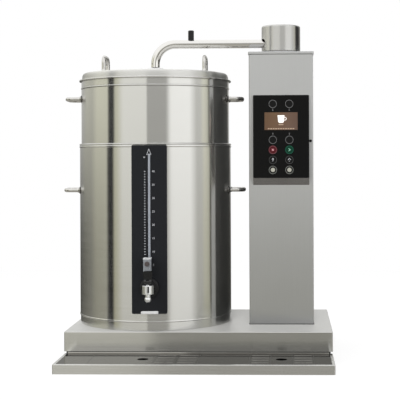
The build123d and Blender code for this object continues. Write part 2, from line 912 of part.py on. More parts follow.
def container_shell():
    """Outer wall and its floor."""
    inner = container_radius - sheet
    shell = spun([
        (0, shell_low),
        (container_radius, shell_low),
        (container_radius, shell_top),
        (inner, shell_top),
        (inner, shell_low + sheet),
        (0, shell_low + sheet),
    ])
    return container_place * (shell - tap_hole())


def inner_vessel():
    """Vessel for the coffee, with a rounded foot, closed by the basket above."""
    inner = vessel_radius - sheet
    corner = vessel_rise
    outline = Polyline(
        (0, vessel_low),
        (vessel_radius - corner, vessel_low),
        (vessel_radius, vessel_low + corner),
        (vessel_radius, shell_top),
        (inner, shell_top),
        (inner, vessel_low + corner + sheet / 2),
        (inner - corner + sheet / 2, vessel_low + sheet),
        (0, vessel_low + sheet),
        close=True,
    )
    vessel = revolve(make_face(Plane.XZ * outline), Axis.Z)
    return container_place * (vessel - tap_hole())


def insulation():
    """Foam sleeve between the two walls."""
    outer = container_radius - sheet - slip_gap
    inner = vessel_radius + slip_gap
    low = vessel_low + vessel_rise
    sleeve = standing_ring(outer, inner, low, shell_top - low)
    return container_place * (sleeve - tap_hole())


def container_rim():
    """Rolled ring that closes the double wall and carries the basket."""
    outer = container_radius + rim_bead
    inner = vessel_radius - sheet
    low = shell_top
    third = rim_height / 3
    ring = spun([
        (inner, low),
        (container_radius, low),
        (outer, low + third),
        (outer, rim_top - third),
        (container_radius, rim_top),
        (inner, rim_top),
    ])
    return container_place * ring


def bent_grip(reach, drop):
    """Bent bar up to reach above the plane Z = 0, with flared feet that stand below it by drop."""
    half = grip_length / 2 - grip_radius
    top = reach - grip_radius
    root = drop + 2 * grip_radius
    path = FilletPolyline((0, -half, -root), (0, -half, top), (0, half, top), (0, half, -root),
                          radius=grip_bend)
    start = Plane(origin=path @ 0, z_dir=path % 0)
    grip = sweep(start * Circle(grip_radius), path)
    foot_top = grip_foot_height - drop
    flare = Polyline(
        (grip_radius, foot_top), (0, foot_top), (0, -root), (grip_foot_radius, -root),
        (grip_foot_radius, -drop),
    )
    hollow = SagittaArc((grip_foot_radius, -drop), (grip_radius, foot_top), grip_foot_hollow)
    foot = revolve(make_face(Plane.XZ * (flare + hollow)), Axis.Z)
    return grip + Pos(0, -half, 0) * foot + Pos(0, half, 0) * foot


def grip_pair(radius, z):
    """Two side grips, cut to the wall that they are welded to."""
    wall = standing_cylinder(radius + slip_gap, z - 2 * grip_foot_radius, 4 * grip_foot_radius)
    drop = radius - sqrt(radius**2 - (grip_length / 2 - grip_radius)**2)
    grips = []
    for sign in (-1, 1):
        place = Pos(sign * radius, 0, z) * Rot(0, sign * 90, 0)
        grips.append(place * bent_grip(grip_reach, drop) - wall)
    return container_place * Compound(children=grips)


def filter_basket():
    """Basket wall with a groove under its rim, a spigot into the vessel and an open floor."""
    outer = basket_radius
    inner = basket_radius - sheet
    spigot_inner = basket_spigot_radius - sheet
    groove_top = basket_top - groove_height
    groove_low = groove_top - groove_height
    basket = spun([
        (basket_floor_hole, basket_low),
        (spigot_inner, basket_low),
        (spigot_inner, basket_low - basket_spigot_height),
        (basket_spigot_radius, basket_low - basket_spigot_height),
        (basket_spigot_radius, basket_low),
        (outer, basket_low),
        (outer, groove_low),
        (outer - groove_depth, groove_low),
        (outer - groove_depth, groove_top),
        (outer, groove_top),
        (outer, basket_top),
        (inner - groove_depth, basket_top),
        (inner - groove_depth, groove_low - sheet),
        (inner, groove_low - sheet),
        (inner, basket_low + sheet),
        (basket_floor_hole, basket_low + sheet),
    ])
    return container_place * basket


def filter_plate():
    """Slotted plate on the basket's floor, which the filter paper lies on."""
    low = basket_low + sheet
    radius = basket_radius - sheet - 2 * slip_gap
    plate = standing_cylinder(radius, low, plate_thickness)
    for ring in range(slot_rings):
        distance = slot_ring_first + ring * slot_ring_pitch
        for number in range(slots_per_ring):
            turn = Rot(0, 0, 360 / slots_per_ring * (number + ring / 2))
            slot = Pos(distance, 0, low + plate_thickness / 2)
            plate -= turn * slot * Box(slot_length, slot_width, plate_thickness)
    return container_place * plate


def dome_line():
    """Upper side of the dome from its foot over the shoulder to the hub's hole, in X and Z."""
    foot_z = lid_lip_z + lid_lip_height
    turn_x = shoulder_radius - shoulder_width
    turn_z = foot_z + shoulder_height
    crown_x = shoulder_radius / 2
    slope = (lid_top - turn_z) / (turn_x - crown_x)
    reach = shoulder_fullness * shoulder_width
    shoulder = Bezier(
        (shoulder_radius, foot_z),
        (shoulder_radius, foot_z + shoulder_fullness * shoulder_height),
        (turn_x + reach, turn_z - slope * reach),
        (turn_x, turn_z),
    )
    return shoulder + Bezier((turn_x, turn_z), (crown_x, lid_top), (lid_hole_radius, lid_top))


def under_dome():
    """Solid that fills everything below the dome's upper side."""
    plug_low = lid_low - lid_plug_depth
    outline = dome_line() + Polyline(
        (lid_hole_radius, lid_top), (0, lid_top), (0, plug_low), (shoulder_radius, plug_low),
        (shoulder_radius, lid_lip_z + lid_lip_height),
    )
    return revolve(make_face(Plane.XZ * outline), Axis.Z)


def lid_dome():
    """Spun lid: skirt on the basket's rim, plug inside it, rolled lip and shallow dome."""
    plug_low = lid_low - lid_plug_depth
    lip = basket_radius + lid_lip_reach
    lip_top = lid_lip_z + lid_lip_height
    rim = Polyline(
        (lid_hole_radius, lid_top),
        (lid_hole_radius, plug_low),
        (lid_plug_radius, plug_low),
        (lid_plug_radius, lid_low),
        (basket_radius, lid_low),
        (basket_radius, lid_lip_z),
        (lip, lid_lip_z),
    )
    roll = ThreePointArc(
        (lip, lid_lip_z),
        (lip + lid_lip_roll, lid_lip_z + lid_lip_height / 2),
        (lip, lip_top),
    )
    shelf = Line((lip, lip_top), (shoulder_radius, lip_top))
    lid = revolve(make_face(Plane.XZ * (dome_line() + rim + roll + shelf)), Axis.Z)
    hollow = Pos(0, 0, -sheet) * under_dome()
    hollow &= standing_cylinder(lid_plug_radius - sheet, plug_low, lid_top - plug_low)
    return lid_place * (lid - hollow)


def lid_hub():
    """White insert in the lid's middle that the pipe pours through, with notches round its top."""
    low = lid_top - sheet - lid_hub_flange
    hole = lid_hole_radius - slip_gap
    hub = spun([
        (lid_hub_bore, low),
        (hole, low),
        (hole, lid_top + slip_gap),
        (lid_hub_radius, lid_top + slip_gap),
        (lid_hub_radius, lid_top + lid_hub_height),
        (lid_hub_bore, lid_top + lid_hub_height),
    ])
    notch_z = lid_top + lid_hub_height - hub_notch_height / 2
    for number in range(hub_notches):
        turn = Rot(0, 0, 360 / hub_notches * number)
        notch = Pos(lid_hub_radius, 0, notch_z)
        hub -= turn * notch * Box(2 * (lid_hub_radius - lid_hub_bore - sheet), hub_notch_width,
                                  hub_notch_height)
    return lid_place * hub


def lid_loops():
    """Two grips like those at the sides, upright on the lid."""
    upright = Line((loop_spacing, lid_low), (loop_spacing, lid_top + sheet))
    seat_z = dome_line().intersect(upright)[0].Y
    reach = lid_top + loop_rise - seat_z
    loops = []
    for sign in (-1, 1):
        place = Pos(sign * loop_spacing, 0, seat_z)
        loops.append(place * bent_grip(reach, 0) - under_dome())
    return lid_place * Compound(children=loops)


# ---------------------------------------------------------------- level gauge and tap


def gauge_housing():
    """Black gauge panel: flat in front, hollowed behind to the container's wall."""
    depth = container_radius / 2
    height_middle = gauge_low + gauge_height / 2
    panel = Pos(0, -gauge_face + depth / 2, height_middle) * Box(gauge_width, depth, gauge_height)
    panel = fillet(panel.edges().filter_by(Axis.Y), gauge_corner)
    panel = fillet(panel.faces().sort_by(Axis.Y)[0].edges(), gauge_edge)
    panel -= standing_cylinder(container_radius + slip_gap, 0, shell_top)
    notch = Box(gauge_notch_width, 2 * depth, 2 * gauge_notch_height)
    notch = fillet(notch.edges().filter_by(Axis.Y), gauge_notch_corner)
    panel -= Pos(0, -gauge_face, gauge_low) * notch
    channel_height = tube_height + fitting_height
    channel = at_centre(0, -gauge_face, fitting_low, channel_height)
    panel -= channel * Box(2 * (tube_radius + channel_gap), 2 * channel_depth, channel_height)
    return container_place * (panel - tap_hole())


def sight_tube():
    """Glass tube in the gauge's channel, standing in the lower fitting."""
    y = -gauge_face + tube_radius - tube_proud
    tube = standing_ring(tube_radius, tube_bore, fitting_top, tube_height - slip_gap, 0, y)
    return container_place * tube


def gauge_fitting():
    """Block at the tube's foot, which connects it with the vessel."""
    block = at_centre(fitting_offset, -gauge_face - fitting_reach / 2, fitting_low, fitting_height)
    block = block * Box(fitting_width, fitting_reach, fitting_height)
    block = fillet(block.edges().filter_by(Axis.Z), fitting_edge)
    root = at_centre(0, -gauge_face, fitting_low, fitting_height)
    block += root * Box(2 * tube_radius, 2 * (channel_depth - slip_gap), fitting_height)
    return container_place * block


def gauge_knob():
    """Round screw in the fitting's face, for cleaning the tube."""
    face = -gauge_face - fitting_reach
    z = fitting_low + fitting_knob_rise
    knob = along_y(fitting_knob_radius, face - fitting_knob_reach, fitting_knob_reach,
                   fitting_offset, z)
    knob = fillet(knob.edges().sort_by(Axis.Y)[0], fitting_knob_reach / 4)
    return container_place * knob


def tap_escutcheon():
    """Black cover ring where the tap goes through the gauge panel."""
    front = -gauge_face - escutcheon_thickness
    ring = along_y(escutcheon_radius, front, escutcheon_thickness, 0, tap_z)
    ring = fillet(ring.edges().sort_by(Axis.Y)[0], escutcheon_thickness / 3)
    return container_place * (
        ring - along_y(shank_radius + slip_gap, front, escutcheon_thickness, 0, tap_z)
    )


def tap_body():
    """Chromed body: shank through the wall, upright barrel, and the lever's tongue on top."""
    shank_end = -(vessel_radius - sheet) + tap_nut_height + 2 * sheet
    body = standing_cylinder(barrel_radius, barrel_low, barrel_height, 0, barrel_y)
    body = fillet(body.edges().filter_by(GeomType.CIRCLE), sheet)
    body += along_y(shank_radius, barrel_y, shank_end - barrel_y, 0, tap_z)
    tongue = at_centre(0, barrel_y, barrel_top, tongue_height - sheet)
    tongue = tongue * Box(tongue_width, tongue_depth, tongue_height - sheet)
    body += fillet(tongue.edges().filter_by(Axis.X).group_by(Axis.Z)[-1], tongue_depth / 3)
    slot_y = barrel_y - barrel_radius + barrel_slot_depth / 2
    slot_low = tap_z - barrel_slot_height / 2
    slot = at_centre(0, slot_y, slot_low, barrel_slot_height)
    body -= slot * Box(barrel_slot_width, barrel_slot_depth, barrel_slot_height)
    body -= standing_cylinder(water_bore, barrel_low, seat_rise, 0, barrel_y)
    chamber_height = barrel_height - seat_rise - 3 * sheet
    body -= standing_cylinder(seat_radius, barrel_low + seat_rise, chamber_height, 0, barrel_y)
    body -= along_y(water_bore - 1, barrel_y, shank_end - barrel_y, 0, tap_z)
    pin_hole = Pos(0, barrel_y, pin_z) * Rot(0, 90, 0)
    body -= pin_hole * Cylinder(pin_radius + running_gap, 2 * tongue_width)
    return container_place * body


def tap_seal():
    """Silicone cup on the tap's seat, with its stem."""
    seat = barrel_low + seat_rise
    cup = standing_cylinder(seal_radius, seat, seal_height, 0, barrel_y)
    cup = fillet(cup.edges().sort_by(Axis.Z)[-1], seal_height / 3)
    return container_place * cup


def tap_nozzle():
    """Outlet that is screwed into the barrel from below."""
    low = barrel_low - nozzle_height
    ball_z = low + nozzle_ball_rise
    nozzle = Pos(0, barrel_y, ball_z) * Sphere(nozzle_ball_radius)
    trim = standing_cylinder(2 * nozzle_ball_radius, low - nozzle_ball_radius,
                             nozzle_ball_radius, 0, barrel_y)
    nozzle -= trim
    nozzle += standing_cylinder(nozzle_neck_radius, ball_z, barrel_low - ball_z, 0, barrel_y)
    bore = standing_cylinder(nozzle_bore, low, nozzle_height, 0, barrel_y)
    return container_place * (nozzle - bore)


def tap_pin():
    """Pivot pin of the lever, held in the tongue."""
    pin = Pos(0, barrel_y, pin_z) * Rot(0, 90, 0) * Cylinder(pin_radius, lever_width)
    return container_place * pin


def tap_nut():
    """Nut that holds the tap against the wall from inside the vessel."""
    inner_wall = vessel_radius - sheet
    wall_at_nut = (inner_wall**2 - tap_nut_radius**2) ** 0.5
    nut = along_y(tap_nut_radius, -wall_at_nut, tap_nut_height, 0, tap_z)
    return container_place * (nut - along_y(
        shank_radius + running_gap, -wall_at_nut, tap_nut_height, 0, tap_z
    ))


def tap_lever():
    """Black lever: two cheeks round the tongue and a paddle that widens upwards."""
    cheeks = Pos(0, barrel_y, pin_z) * Rot(0, 90, 0) * Cylinder(lever_cheek_radius, lever_width)
    root_low = pin_z
    top = pin_z + lever_height
    half = lever_width / 2
    outline = Polyline(
        (-half, root_low), (half, root_low), (half + lever_flare / 2, top), (-half - lever_flare / 2, top),
        close=True,
    )
    paddle = extrude(make_face(Plane.XZ * outline), lever_thickness / 2, both=True)
    paddle = fillet(paddle.edges().filter_by(Axis.Y).group_by(Axis.Z)[-1], lever_flare)
    lever = cheeks + Pos(0, barrel_y, 0) * paddle
    gap_width = tongue_width + 2 * seat_gap
    gap_height = tongue_height - pin_rise + lever_cheek_radius + 2 * seat_gap
    gap = at_centre(0, barrel_y, pin_z - lever_cheek_radius, gap_height)
    lever -= gap * Box(gap_width, 4 * lever_cheek_radius, gap_height)
    pin = Pos(0, barrel_y, pin_z) * Rot(0, 90, 0)
    lever -= pin * Cylinder(pin_radius + running_gap, 2 * lever_width)
    return container_place * lever


# ---------------------------------------------------------------- all pieces


def grip_tip_x():
    """Furthest point to the left: the outside of the turned container's left grip."""
    turn = radians(container_turn)
    reach = container_radius + grip_reach
    straight = grip_length / 2 - grip_radius - grip_bend
    bend_middle = reach - grip_radius - grip_bend
    return container_x - (
        bend_middle * cos(turn) + straight * sin(turn) + grip_bend + grip_radius
    )


nodes = {
    "base_cover": base_cover(),
    "base_floor": base_floor(),
    "feet": feet(),
    "foot_nuts": foot_nuts(),
    "drip_tray": drip_tray(),
    "drip_plate": drip_plate(),
    "column_shell": column_shell(),
    "rear_cover": rear_cover(),
    "rear_screws": rear_screws(),
    "cap_gasket": cap_gasket(),
    "column_cap": column_cap(),
    "panel_housing": panel_housing(),
    "panel_overlay": panel_overlay(),
    "display_window": display_window(),
    "control_board": control_board(),
    "panel_lock": panel_lock(),
    "boiler_tank": boiler_tank(),
    "heating_element": heating_element(),
    "riser_pipe": riser_pipe(),
    "water_inlet": water_inlet(),
    "inlet_valve": inlet_valve(),
    "cable_gland": cable_gland(),
    "swivel_bearing": swivel_bearing(),
    "head_drum": head_drum(),
    "swivel_hub": swivel_hub(),
    "swivel_pipe": swivel_pipe(),
    "arm_knob": arm_knob(),
    "foot_ring": foot_ring(),
    "container_shell": container_shell(),
    "inner_vessel": inner_vessel(),
    "insulation": insulation(),
    "container_rim": container_rim(),
    "container_grips": grip_pair(container_radius, lower_grip_z),
    "filter_basket": filter_basket(),
    "filter_plate": filter_plate(),
    "basket_grips": grip_pair(basket_radius, upper_grip_z),
    "lid_dome": lid_dome(),
    "lid_hub": lid_hub(),
    "lid_loops": lid_loops(),
    "gauge_housing": gauge_housing(),
    "sight_tube": sight_tube(),
    "gauge_fitting": gauge_fitting(),
    "gauge_knob": gauge_knob(),
    "tap_escutcheon": tap_escutcheon(),
    "tap_body": tap_body(),
    "tap_seal": tap_seal(),
    "tap_nozzle": tap_nozzle(),
    "tap_pin": tap_pin(),
    "tap_nut": tap_nut(),
    "tap_lever": tap_lever(),
}
for key_name, (key_x, key_y) in key_places().items():
    nodes[key_name] = key_cap(key_x, key_y)

middle_x = (grip_tip_x() + base_width / 2) / 2
middle_y = (base_depth - tray_reach) / 2
to_origin = Pos(-middle_x, -middle_y, 0)
os.makedirs("parts", exist_ok=True)
for node_name, solid in nodes.items():
    export_step(to_origin * solid, f"parts/{node_name}.step")
print("origin in the base's frame:", round(middle_x, 3), round(middle_y, 3))
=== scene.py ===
import math

import bmesh
import bpy
from mathutils import Matrix, Vector


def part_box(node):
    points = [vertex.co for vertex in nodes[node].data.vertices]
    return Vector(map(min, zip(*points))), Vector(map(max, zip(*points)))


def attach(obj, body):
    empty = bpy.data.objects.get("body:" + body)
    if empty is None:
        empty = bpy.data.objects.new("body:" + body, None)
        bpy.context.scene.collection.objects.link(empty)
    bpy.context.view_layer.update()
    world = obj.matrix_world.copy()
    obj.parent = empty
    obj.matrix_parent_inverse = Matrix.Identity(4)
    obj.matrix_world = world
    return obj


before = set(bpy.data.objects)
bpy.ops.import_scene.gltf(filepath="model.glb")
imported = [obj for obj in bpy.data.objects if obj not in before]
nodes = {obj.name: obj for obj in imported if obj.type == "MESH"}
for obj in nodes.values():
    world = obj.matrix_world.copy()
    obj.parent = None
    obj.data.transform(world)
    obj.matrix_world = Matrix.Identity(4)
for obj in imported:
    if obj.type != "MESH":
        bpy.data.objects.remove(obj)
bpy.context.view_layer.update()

# ------------------------------------------------------------ camera
# A long lens from a few metres in front and a little to the right, at two thirds of the column's
# height. Its small shift frames the brewer as on a catalogue page.
camera_place = Vector((0.2638, -3.2083, 0.5610))
camera_yaw, camera_pitch, camera_roll = 0.0329, 0.0005, -0.0036
camera_data = bpy.data.cameras.new("camera")
camera_data.sensor_width = 36.0
camera_data.lens = 101.16
camera_data.shift_x = -0.1250
camera_data.shift_y = -0.1075
camera = bpy.data.objects.new("camera", camera_data)
bpy.context.scene.collection.objects.link(camera)
looking = Vector((
    -math.sin(camera_yaw) * math.cos(camera_pitch),
    math.cos(camera_yaw) * math.cos(camera_pitch),
    math.sin(camera_pitch),
))
camera.rotation_mode = "QUATERNION"
upright = looking.to_track_quat("-Z", "Y").to_matrix().to_4x4()
camera.matrix_world = (
    Matrix.Translation(camera_place) @ upright @ Matrix.Rotation(camera_roll, 4, "Z")
)
bpy.context.scene.camera = camera
bpy.context.scene.view_settings.view_transform = "Standard"

# ------------------------------------------------------------ studio
# White all round to the eye. Polished metal sees its soft boxes, the gaps between them and the
# dim end behind the camera as upright bands, brighter above the table than below it.


def shader_tree(owner):
    """Empty node tree of a material or world."""
    owner.use_nodes = True
    tree = owner.node_tree
    tree.nodes.clear()
    return tree


def add(tree, kind, inputs=None, **settings):
    """Adds a node, sets its properties, and fills or links its inputs by name or number."""
    node = tree.nodes.new(kind)
    for name, value in settings.items():
        setattr(node, name, value)
    for name, value in (inputs or {}).items():
        if isinstance(value, bpy.types.NodeSocket):
            tree.links.new(value, node.inputs[name])
        else:
            node.inputs[name].default_value = value
    return node


def maths(tree, operation, *values):
    """Output of a Math node."""
    return add(tree, "ShaderNodeMath", dict(enumerate(values)), operation=operation).outputs[0]


def share_between(tree, value, low, high, kind="SMOOTHSTEP"):
    """Share from 0 to 1 of the way from low to high."""
    node = add(tree, "ShaderNodeMapRange", {"Value": value, "From Min": low, "From Max": high},
               interpolation_type=kind)
    return node.outputs["Result"]


def share_within(tree, value, rises_from, rises_to, falls_from, falls_to):
    """Share that rises to 1 between the first two values and falls again between the others."""
    return maths(tree, "MULTIPLY", share_between(tree, value, rises_from, rises_to),
                 share_between(tree, value, falls_to, falls_from))


def ramp(tree, factor, stops):
    """Colour output of a ramp with the given stops, each a place and a colour."""
    node = add(tree, "ShaderNodeValToRGB", {"Fac": factor})
    elements = node.color_ramp.elements
    while len(elements) < len(stops):
        elements.new(1.0)
    for element, (place, colour) in zip(elements, stops):
        element.position = place
        element.color = (*colour, 1.0)
    return node.outputs["Color"]


def mixed(tree, factor, first, second, blend="MIX"):
    """Colour output of a Mix node."""
    node = add(tree, "ShaderNodeMix", data_type="RGBA", blend_type=blend)
    for name, value in (("Factor", factor), ("A", first), ("B", second)):
        socket = [s for s in node.inputs if s.name == name and s.enabled][0]
        if isinstance(value, bpy.types.NodeSocket):
            tree.links.new(value, socket)
        else:
            socket.default_value = value
    return [s for s in node.outputs if s.enabled][0]


# Each band runs between two bearings in degrees, 0 towards the camera's side and 90 to the right,
# with its light above and below the horizon that metal sees there, that horizon's slope, and how
# warm the light is.
studio_bands = [
    (-180, -146, 0.60, 0.08, -0.01, 0.1),    # wall behind
    (-126, -108, 0.78, 0.04, -0.01, 0.3),    # left wall
    (-95, -73, 1.08, 0.09, -0.01, 0.4),
    (-70, -61.5, 0.00, 0.00, -0.02, 0.4),    # gap
    (-58, -55, 0.88, 0.34, -0.03, 0.4),      # left soft box
    (-44, 21, 1.20, 0.56, -0.05, 0.11),
    (32, 60, 1.46, 1.02, -0.05, 0.04),       # right soft box
    (72, 80, 0.86, 0.38, -0.05, 0.1),
    (85, 87, 1.06, 0.34, -0.05, 0.3),
    (92, 94, 0.90, 0.36, -0.05, 0.3),
    (98, 134, 0.00, 0.00, -0.05, 0.3),       # dark end on the right
    (141, 145, 0.30, 0.01, -0.03, 0.2),
    (162, 180, 0.60, 0.08, -0.01, 0.1),
]
# Bearings over which the dim doorway behind the camera and two black curtains start and end.
doorway, doorway_light = (-6.95, -6.75, 21, 30), 0.44
left_curtain, right_curtain = (-73, -69, -62, -58), (95, 99, 138, 146)
ceiling_kept_off = 0.8      # share of the ceiling's light that the right curtain keeps off
ceiling_slopes, ceiling_light = (0.22, 0.50), (1.25, 1.25, 1.24)
table_slopes, table_light = (-0.21, -0.16), (0.50, 0.485, 0.44)
horizon_blur = 0.07         # slope to either side of the horizon over which the light changes
horizon_offset = 0.5        # keeps the horizon's slope positive inside a ramp
warm_loss = (0.0, 0.03, 0.45)      # share of red, green and blue that a fully warm light lacks
table_warmth = 3            # times as warm below the horizon as above it
matt_light = (0.62, 0.62, 0.62)      # even light on everything, apart from reflections
box_aim = Vector((0, 0, 0.4))      # where the lamps point


def tinted(level, warmth):
    """Light of that level, drawn towards a warm white."""
    return tuple(level * (1 - loss * warmth) for loss in warm_loss)


world = bpy.data.worlds.new("studio")
bpy.context.scene.world = world
tree = shader_tree(world)
ray = add(tree, "ShaderNodeLightPath")
aim = add(tree, "ShaderNodeTexCoord").outputs["Generated"]
direction = add(tree, "ShaderNodeSeparateXYZ", {0: aim})
slope = direction.outputs["Z"]
backwards = maths(tree, "MULTIPLY", direction.outputs["Y"], -1.0)
bearing = maths(tree, "DEGREES", maths(tree, "ARCTAN2", direction.outputs["X"], backwards))
turn = share_between(tree, bearing, -180.0, 180.0, "LINEAR")
above, below, horizons = [], [], []
for start, end, high, low, horizon, warmth in studio_bands:
    for edge in (start, end):
        place = (edge + 180) / 360
        above.append((place, tinted(high, warmth)))
        below.append((place, tinted(low, table_warmth * warmth)))
        horizons.append((place, (horizon + horizon_offset,) * 3))
horizon = maths(tree, "SUBTRACT", ramp(tree, turn, horizons), horizon_offset)
rise = share_between(tree, slope, maths(tree, "SUBTRACT", horizon, horizon_blur),
                     maths(tree, "ADD", horizon, horizon_blur))
bands = mixed(tree, rise, ramp(tree, turn, below), ramp(tree, turn, above))
in_doorway = share_within(tree, bearing, *doorway)
dimming = maths(tree, "MULTIPLY_ADD", in_doorway, doorway_light - 1, 1.0)
dimmed = add(tree, "ShaderNodeVectorMath", {0: bands, "Scale": dimming}, operation="SCALE")
at_left = share_within(tree, bearing, *left_curtain)
at_right = share_within(tree, bearing, *right_curtain)
open_ceiling = maths(tree, "SUBTRACT", 1.0, maths(tree, "MULTIPLY", at_right, ceiling_kept_off))
ceiling_share = maths(tree, "MULTIPLY", share_between(tree, slope, *ceiling_slopes), open_ceiling)
bands = mixed(tree, ceiling_share, dimmed.outputs[0], (*ceiling_light, 1))
off_table = maths(tree, "MAXIMUM", share_between(tree, slope, *table_slopes),
                  maths(tree, "MAXIMUM", at_left, at_right))
bands = mixed(tree, off_table, (*table_light, 1), bands)
light = mixed(tree, ray.outputs["Is Glossy Ray"], (*matt_light, 1), bands)
seen = maths(tree, "MAXIMUM", ray.outputs["Is Camera Ray"], ray.outputs["Is Transmission Ray"])
background = add(tree, "ShaderNodeBackground", {
    "Color": mixed(tree, seen, light, (1, 1, 1, 1)), "Strength": 1.0,
})
add(tree, "ShaderNodeOutputWorld", {"Surface": background.outputs[0]})


def soft_box(name, place, width, height, power):
    """Area lamp whose reflection the world gives instead."""
    data = bpy.data.lights.new(name, "AREA")
    data.shape = "RECTANGLE"
    data.size, data.size_y = width, height
    data.energy = power
    lamp = bpy.data.objects.new(name, data)
    bpy.context.scene.collection.objects.link(lamp)
    lamp.location = place
    lamp.rotation_mode = "QUATERNION"
    lamp.rotation_quaternion = (box_aim - Vector(place)).to_track_quat("-Z", "Y")
    lamp.visible_glossy = False


soft_box("left_box", (-2.0, -1.9, 1.9), 1.6, 1.6, 34)
soft_box("right_box", (2.2, -1.6, 1.6), 1.2, 1.6, 16)
soft_box("top_box", (0.0, 0.3, 2.8), 2.2, 1.6, 26)

# ------------------------------------------------------------ floor
# Plain white sweep that keeps the soft shadow. Metal doesn't see it, because the bands above
# already end at the table.
floor_reach = 2.4      # to each side of the middle
floor_glow, glow_share = 1.08, 0.8      # plain white away from the shadow, and the rest is paint
bm = bmesh.new()
bmesh.ops.create_grid(bm, x_segments=1, y_segments=1, size=floor_reach)
floor_mesh = bpy.data.meshes.new("floor")
bm.to_mesh(floor_mesh)
bm.free()
floor = bpy.data.objects.new("floor", floor_mesh)
bpy.context.scene.collection.objects.link(floor)
floor_paint = bpy.data.materials.new("floor_paint")
tree = shader_tree(floor_paint)
ray = add(tree, "ShaderNodeLightPath")
matt = add(tree, "ShaderNodeBsdfPrincipled", {
    "Base Color": (0.82, 0.82, 0.82, 1), "Roughness": 0.9, "Specular IOR Level": 0.1,
})
glow = add(tree, "ShaderNodeEmission", {"Color": (1, 1, 1, 1), "Strength": floor_glow})
share = maths(tree, "MULTIPLY", ray.outputs["Is Camera Ray"], glow_share)
blend = add(tree, "ShaderNodeMixShader", {0: share, 1: matt.outputs[0], 2: glow.outputs[0]})
add(tree, "ShaderNodeOutputMaterial", {"Surface": blend.outputs[0]})
floor.data.materials.append(floor_paint)
floor.visible_glossy = False

# ------------------------------------------------------------ base
# Low cabinet of brushed stainless sheet, folded down on all sides over a floor plate, on four
# rubber feet with locknuts. The brushing runs along its length, and its top has a satin finish
# painted a little darker as painted shade.
steel_grey = (0.64, 0.638, 0.624)
streak_stretch = (6.0, 6.0, 0.0)      # along grain that runs round an axis
steel_depth, satin_depth = 0.0004, 0.0002      # that the relief's full height stands for
roughness_swing = 0.12      # between the grain's low and high points


def new_group(name, inputs, outputs):
    """Shader node group with named sockets, its tree, and its input and output nodes."""
    group = bpy.data.node_groups.new(name, "ShaderNodeTree")
    for socket, kind, value in inputs:
        group.interface.new_socket(socket, in_out="INPUT", socket_type=kind).default_value = value
    for socket, kind in outputs:
        group.interface.new_socket(socket, in_out="OUTPUT", socket_type=kind)
    return group, group.nodes.new("NodeGroupInput"), group.nodes.new("NodeGroupOutput")


# Brushed grain from stretched noise, with a faint cloudiness: colour, roughness and relief.
steel_grain, given, made = new_group("steel_grain", [
    ("Vector", "NodeSocketVector", (0, 0, 0)),
    ("Cloud Vector", "NodeSocketVector", (0, 0, 0)),
    ("Steel", "NodeSocketColor", (0.62, 0.61, 0.58, 1)),
    ("Contrast", "NodeSocketFloat", 0.1),
    ("Roughness", "NodeSocketFloat", 0.3),
], [("Color", "NodeSocketColor"), ("Roughness", "NodeSocketFloat"), ("Height", "NodeSocketFloat")])
fine = add(steel_grain, "ShaderNodeTexNoise", {
    "Vector": given.outputs["Vector"], "Scale": 1.0, "Detail": 3.0, "Roughness": 0.65,
})
broad = add(steel_grain, "ShaderNodeTexNoise", {
    "Vector": given.outputs["Cloud Vector"], "Scale": 6.0, "Detail": 2.0, "Roughness": 0.5,
})
streak = maths(steel_grain, "SUBTRACT", fine.outputs["Fac"], 0.5)
cloud = maths(steel_grain, "SUBTRACT", broad.outputs["Fac"], 0.5)
unevenness = maths(steel_grain, "MULTIPLY_ADD", cloud, 0.5, streak)
level = maths(steel_grain, "MULTIPLY_ADD", unevenness, given.outputs["Contrast"], 1.0)
tone = add(steel_grain, "ShaderNodeVectorMath", {0: given.outputs["Steel"], "Scale": level},
           operation="SCALE")
rough = maths(steel_grain, "MULTIPLY_ADD", streak, roughness_swing, given.outputs["Roughness"])
steel_grain.links.new(tone.outputs[0], made.inputs["Color"])
steel_grain.links.new(rough, made.inputs["Roughness"])
steel_grain.links.new(fine.outputs["Fac"], made.inputs["Height"])


def object_place(tree):
    """The object's own coordinates at each point."""
    return add(tree, "ShaderNodeTexCoord").outputs["Object"]


def coordinate(tree, axis):
    """X, Y or Z of the object's own coordinates."""
    return add(tree, "ShaderNodeSeparateXYZ", {0: object_place(tree)}).outputs[axis]


def vector_maths(tree, operation, *values):
    """Vector output of a Vector Math node."""
    node = add(tree, "ShaderNodeVectorMath", dict(enumerate(values)), operation=operation)
    return node.outputs["Vector"]


def off_axis(tree, axis):
    """Each point's level offset from an upright axis, and that offset's length."""
    offset = add(tree, "ShaderNodeMapping", {
        "Vector": object_place(tree), "Location": (-axis.x, -axis.y, 0), "Scale": (1, 1, 0),
    }).outputs[0]
    reach = add(tree, "ShaderNodeVectorMath", {0: offset}, operation="LENGTH").outputs["Value"]
    return offset, reach


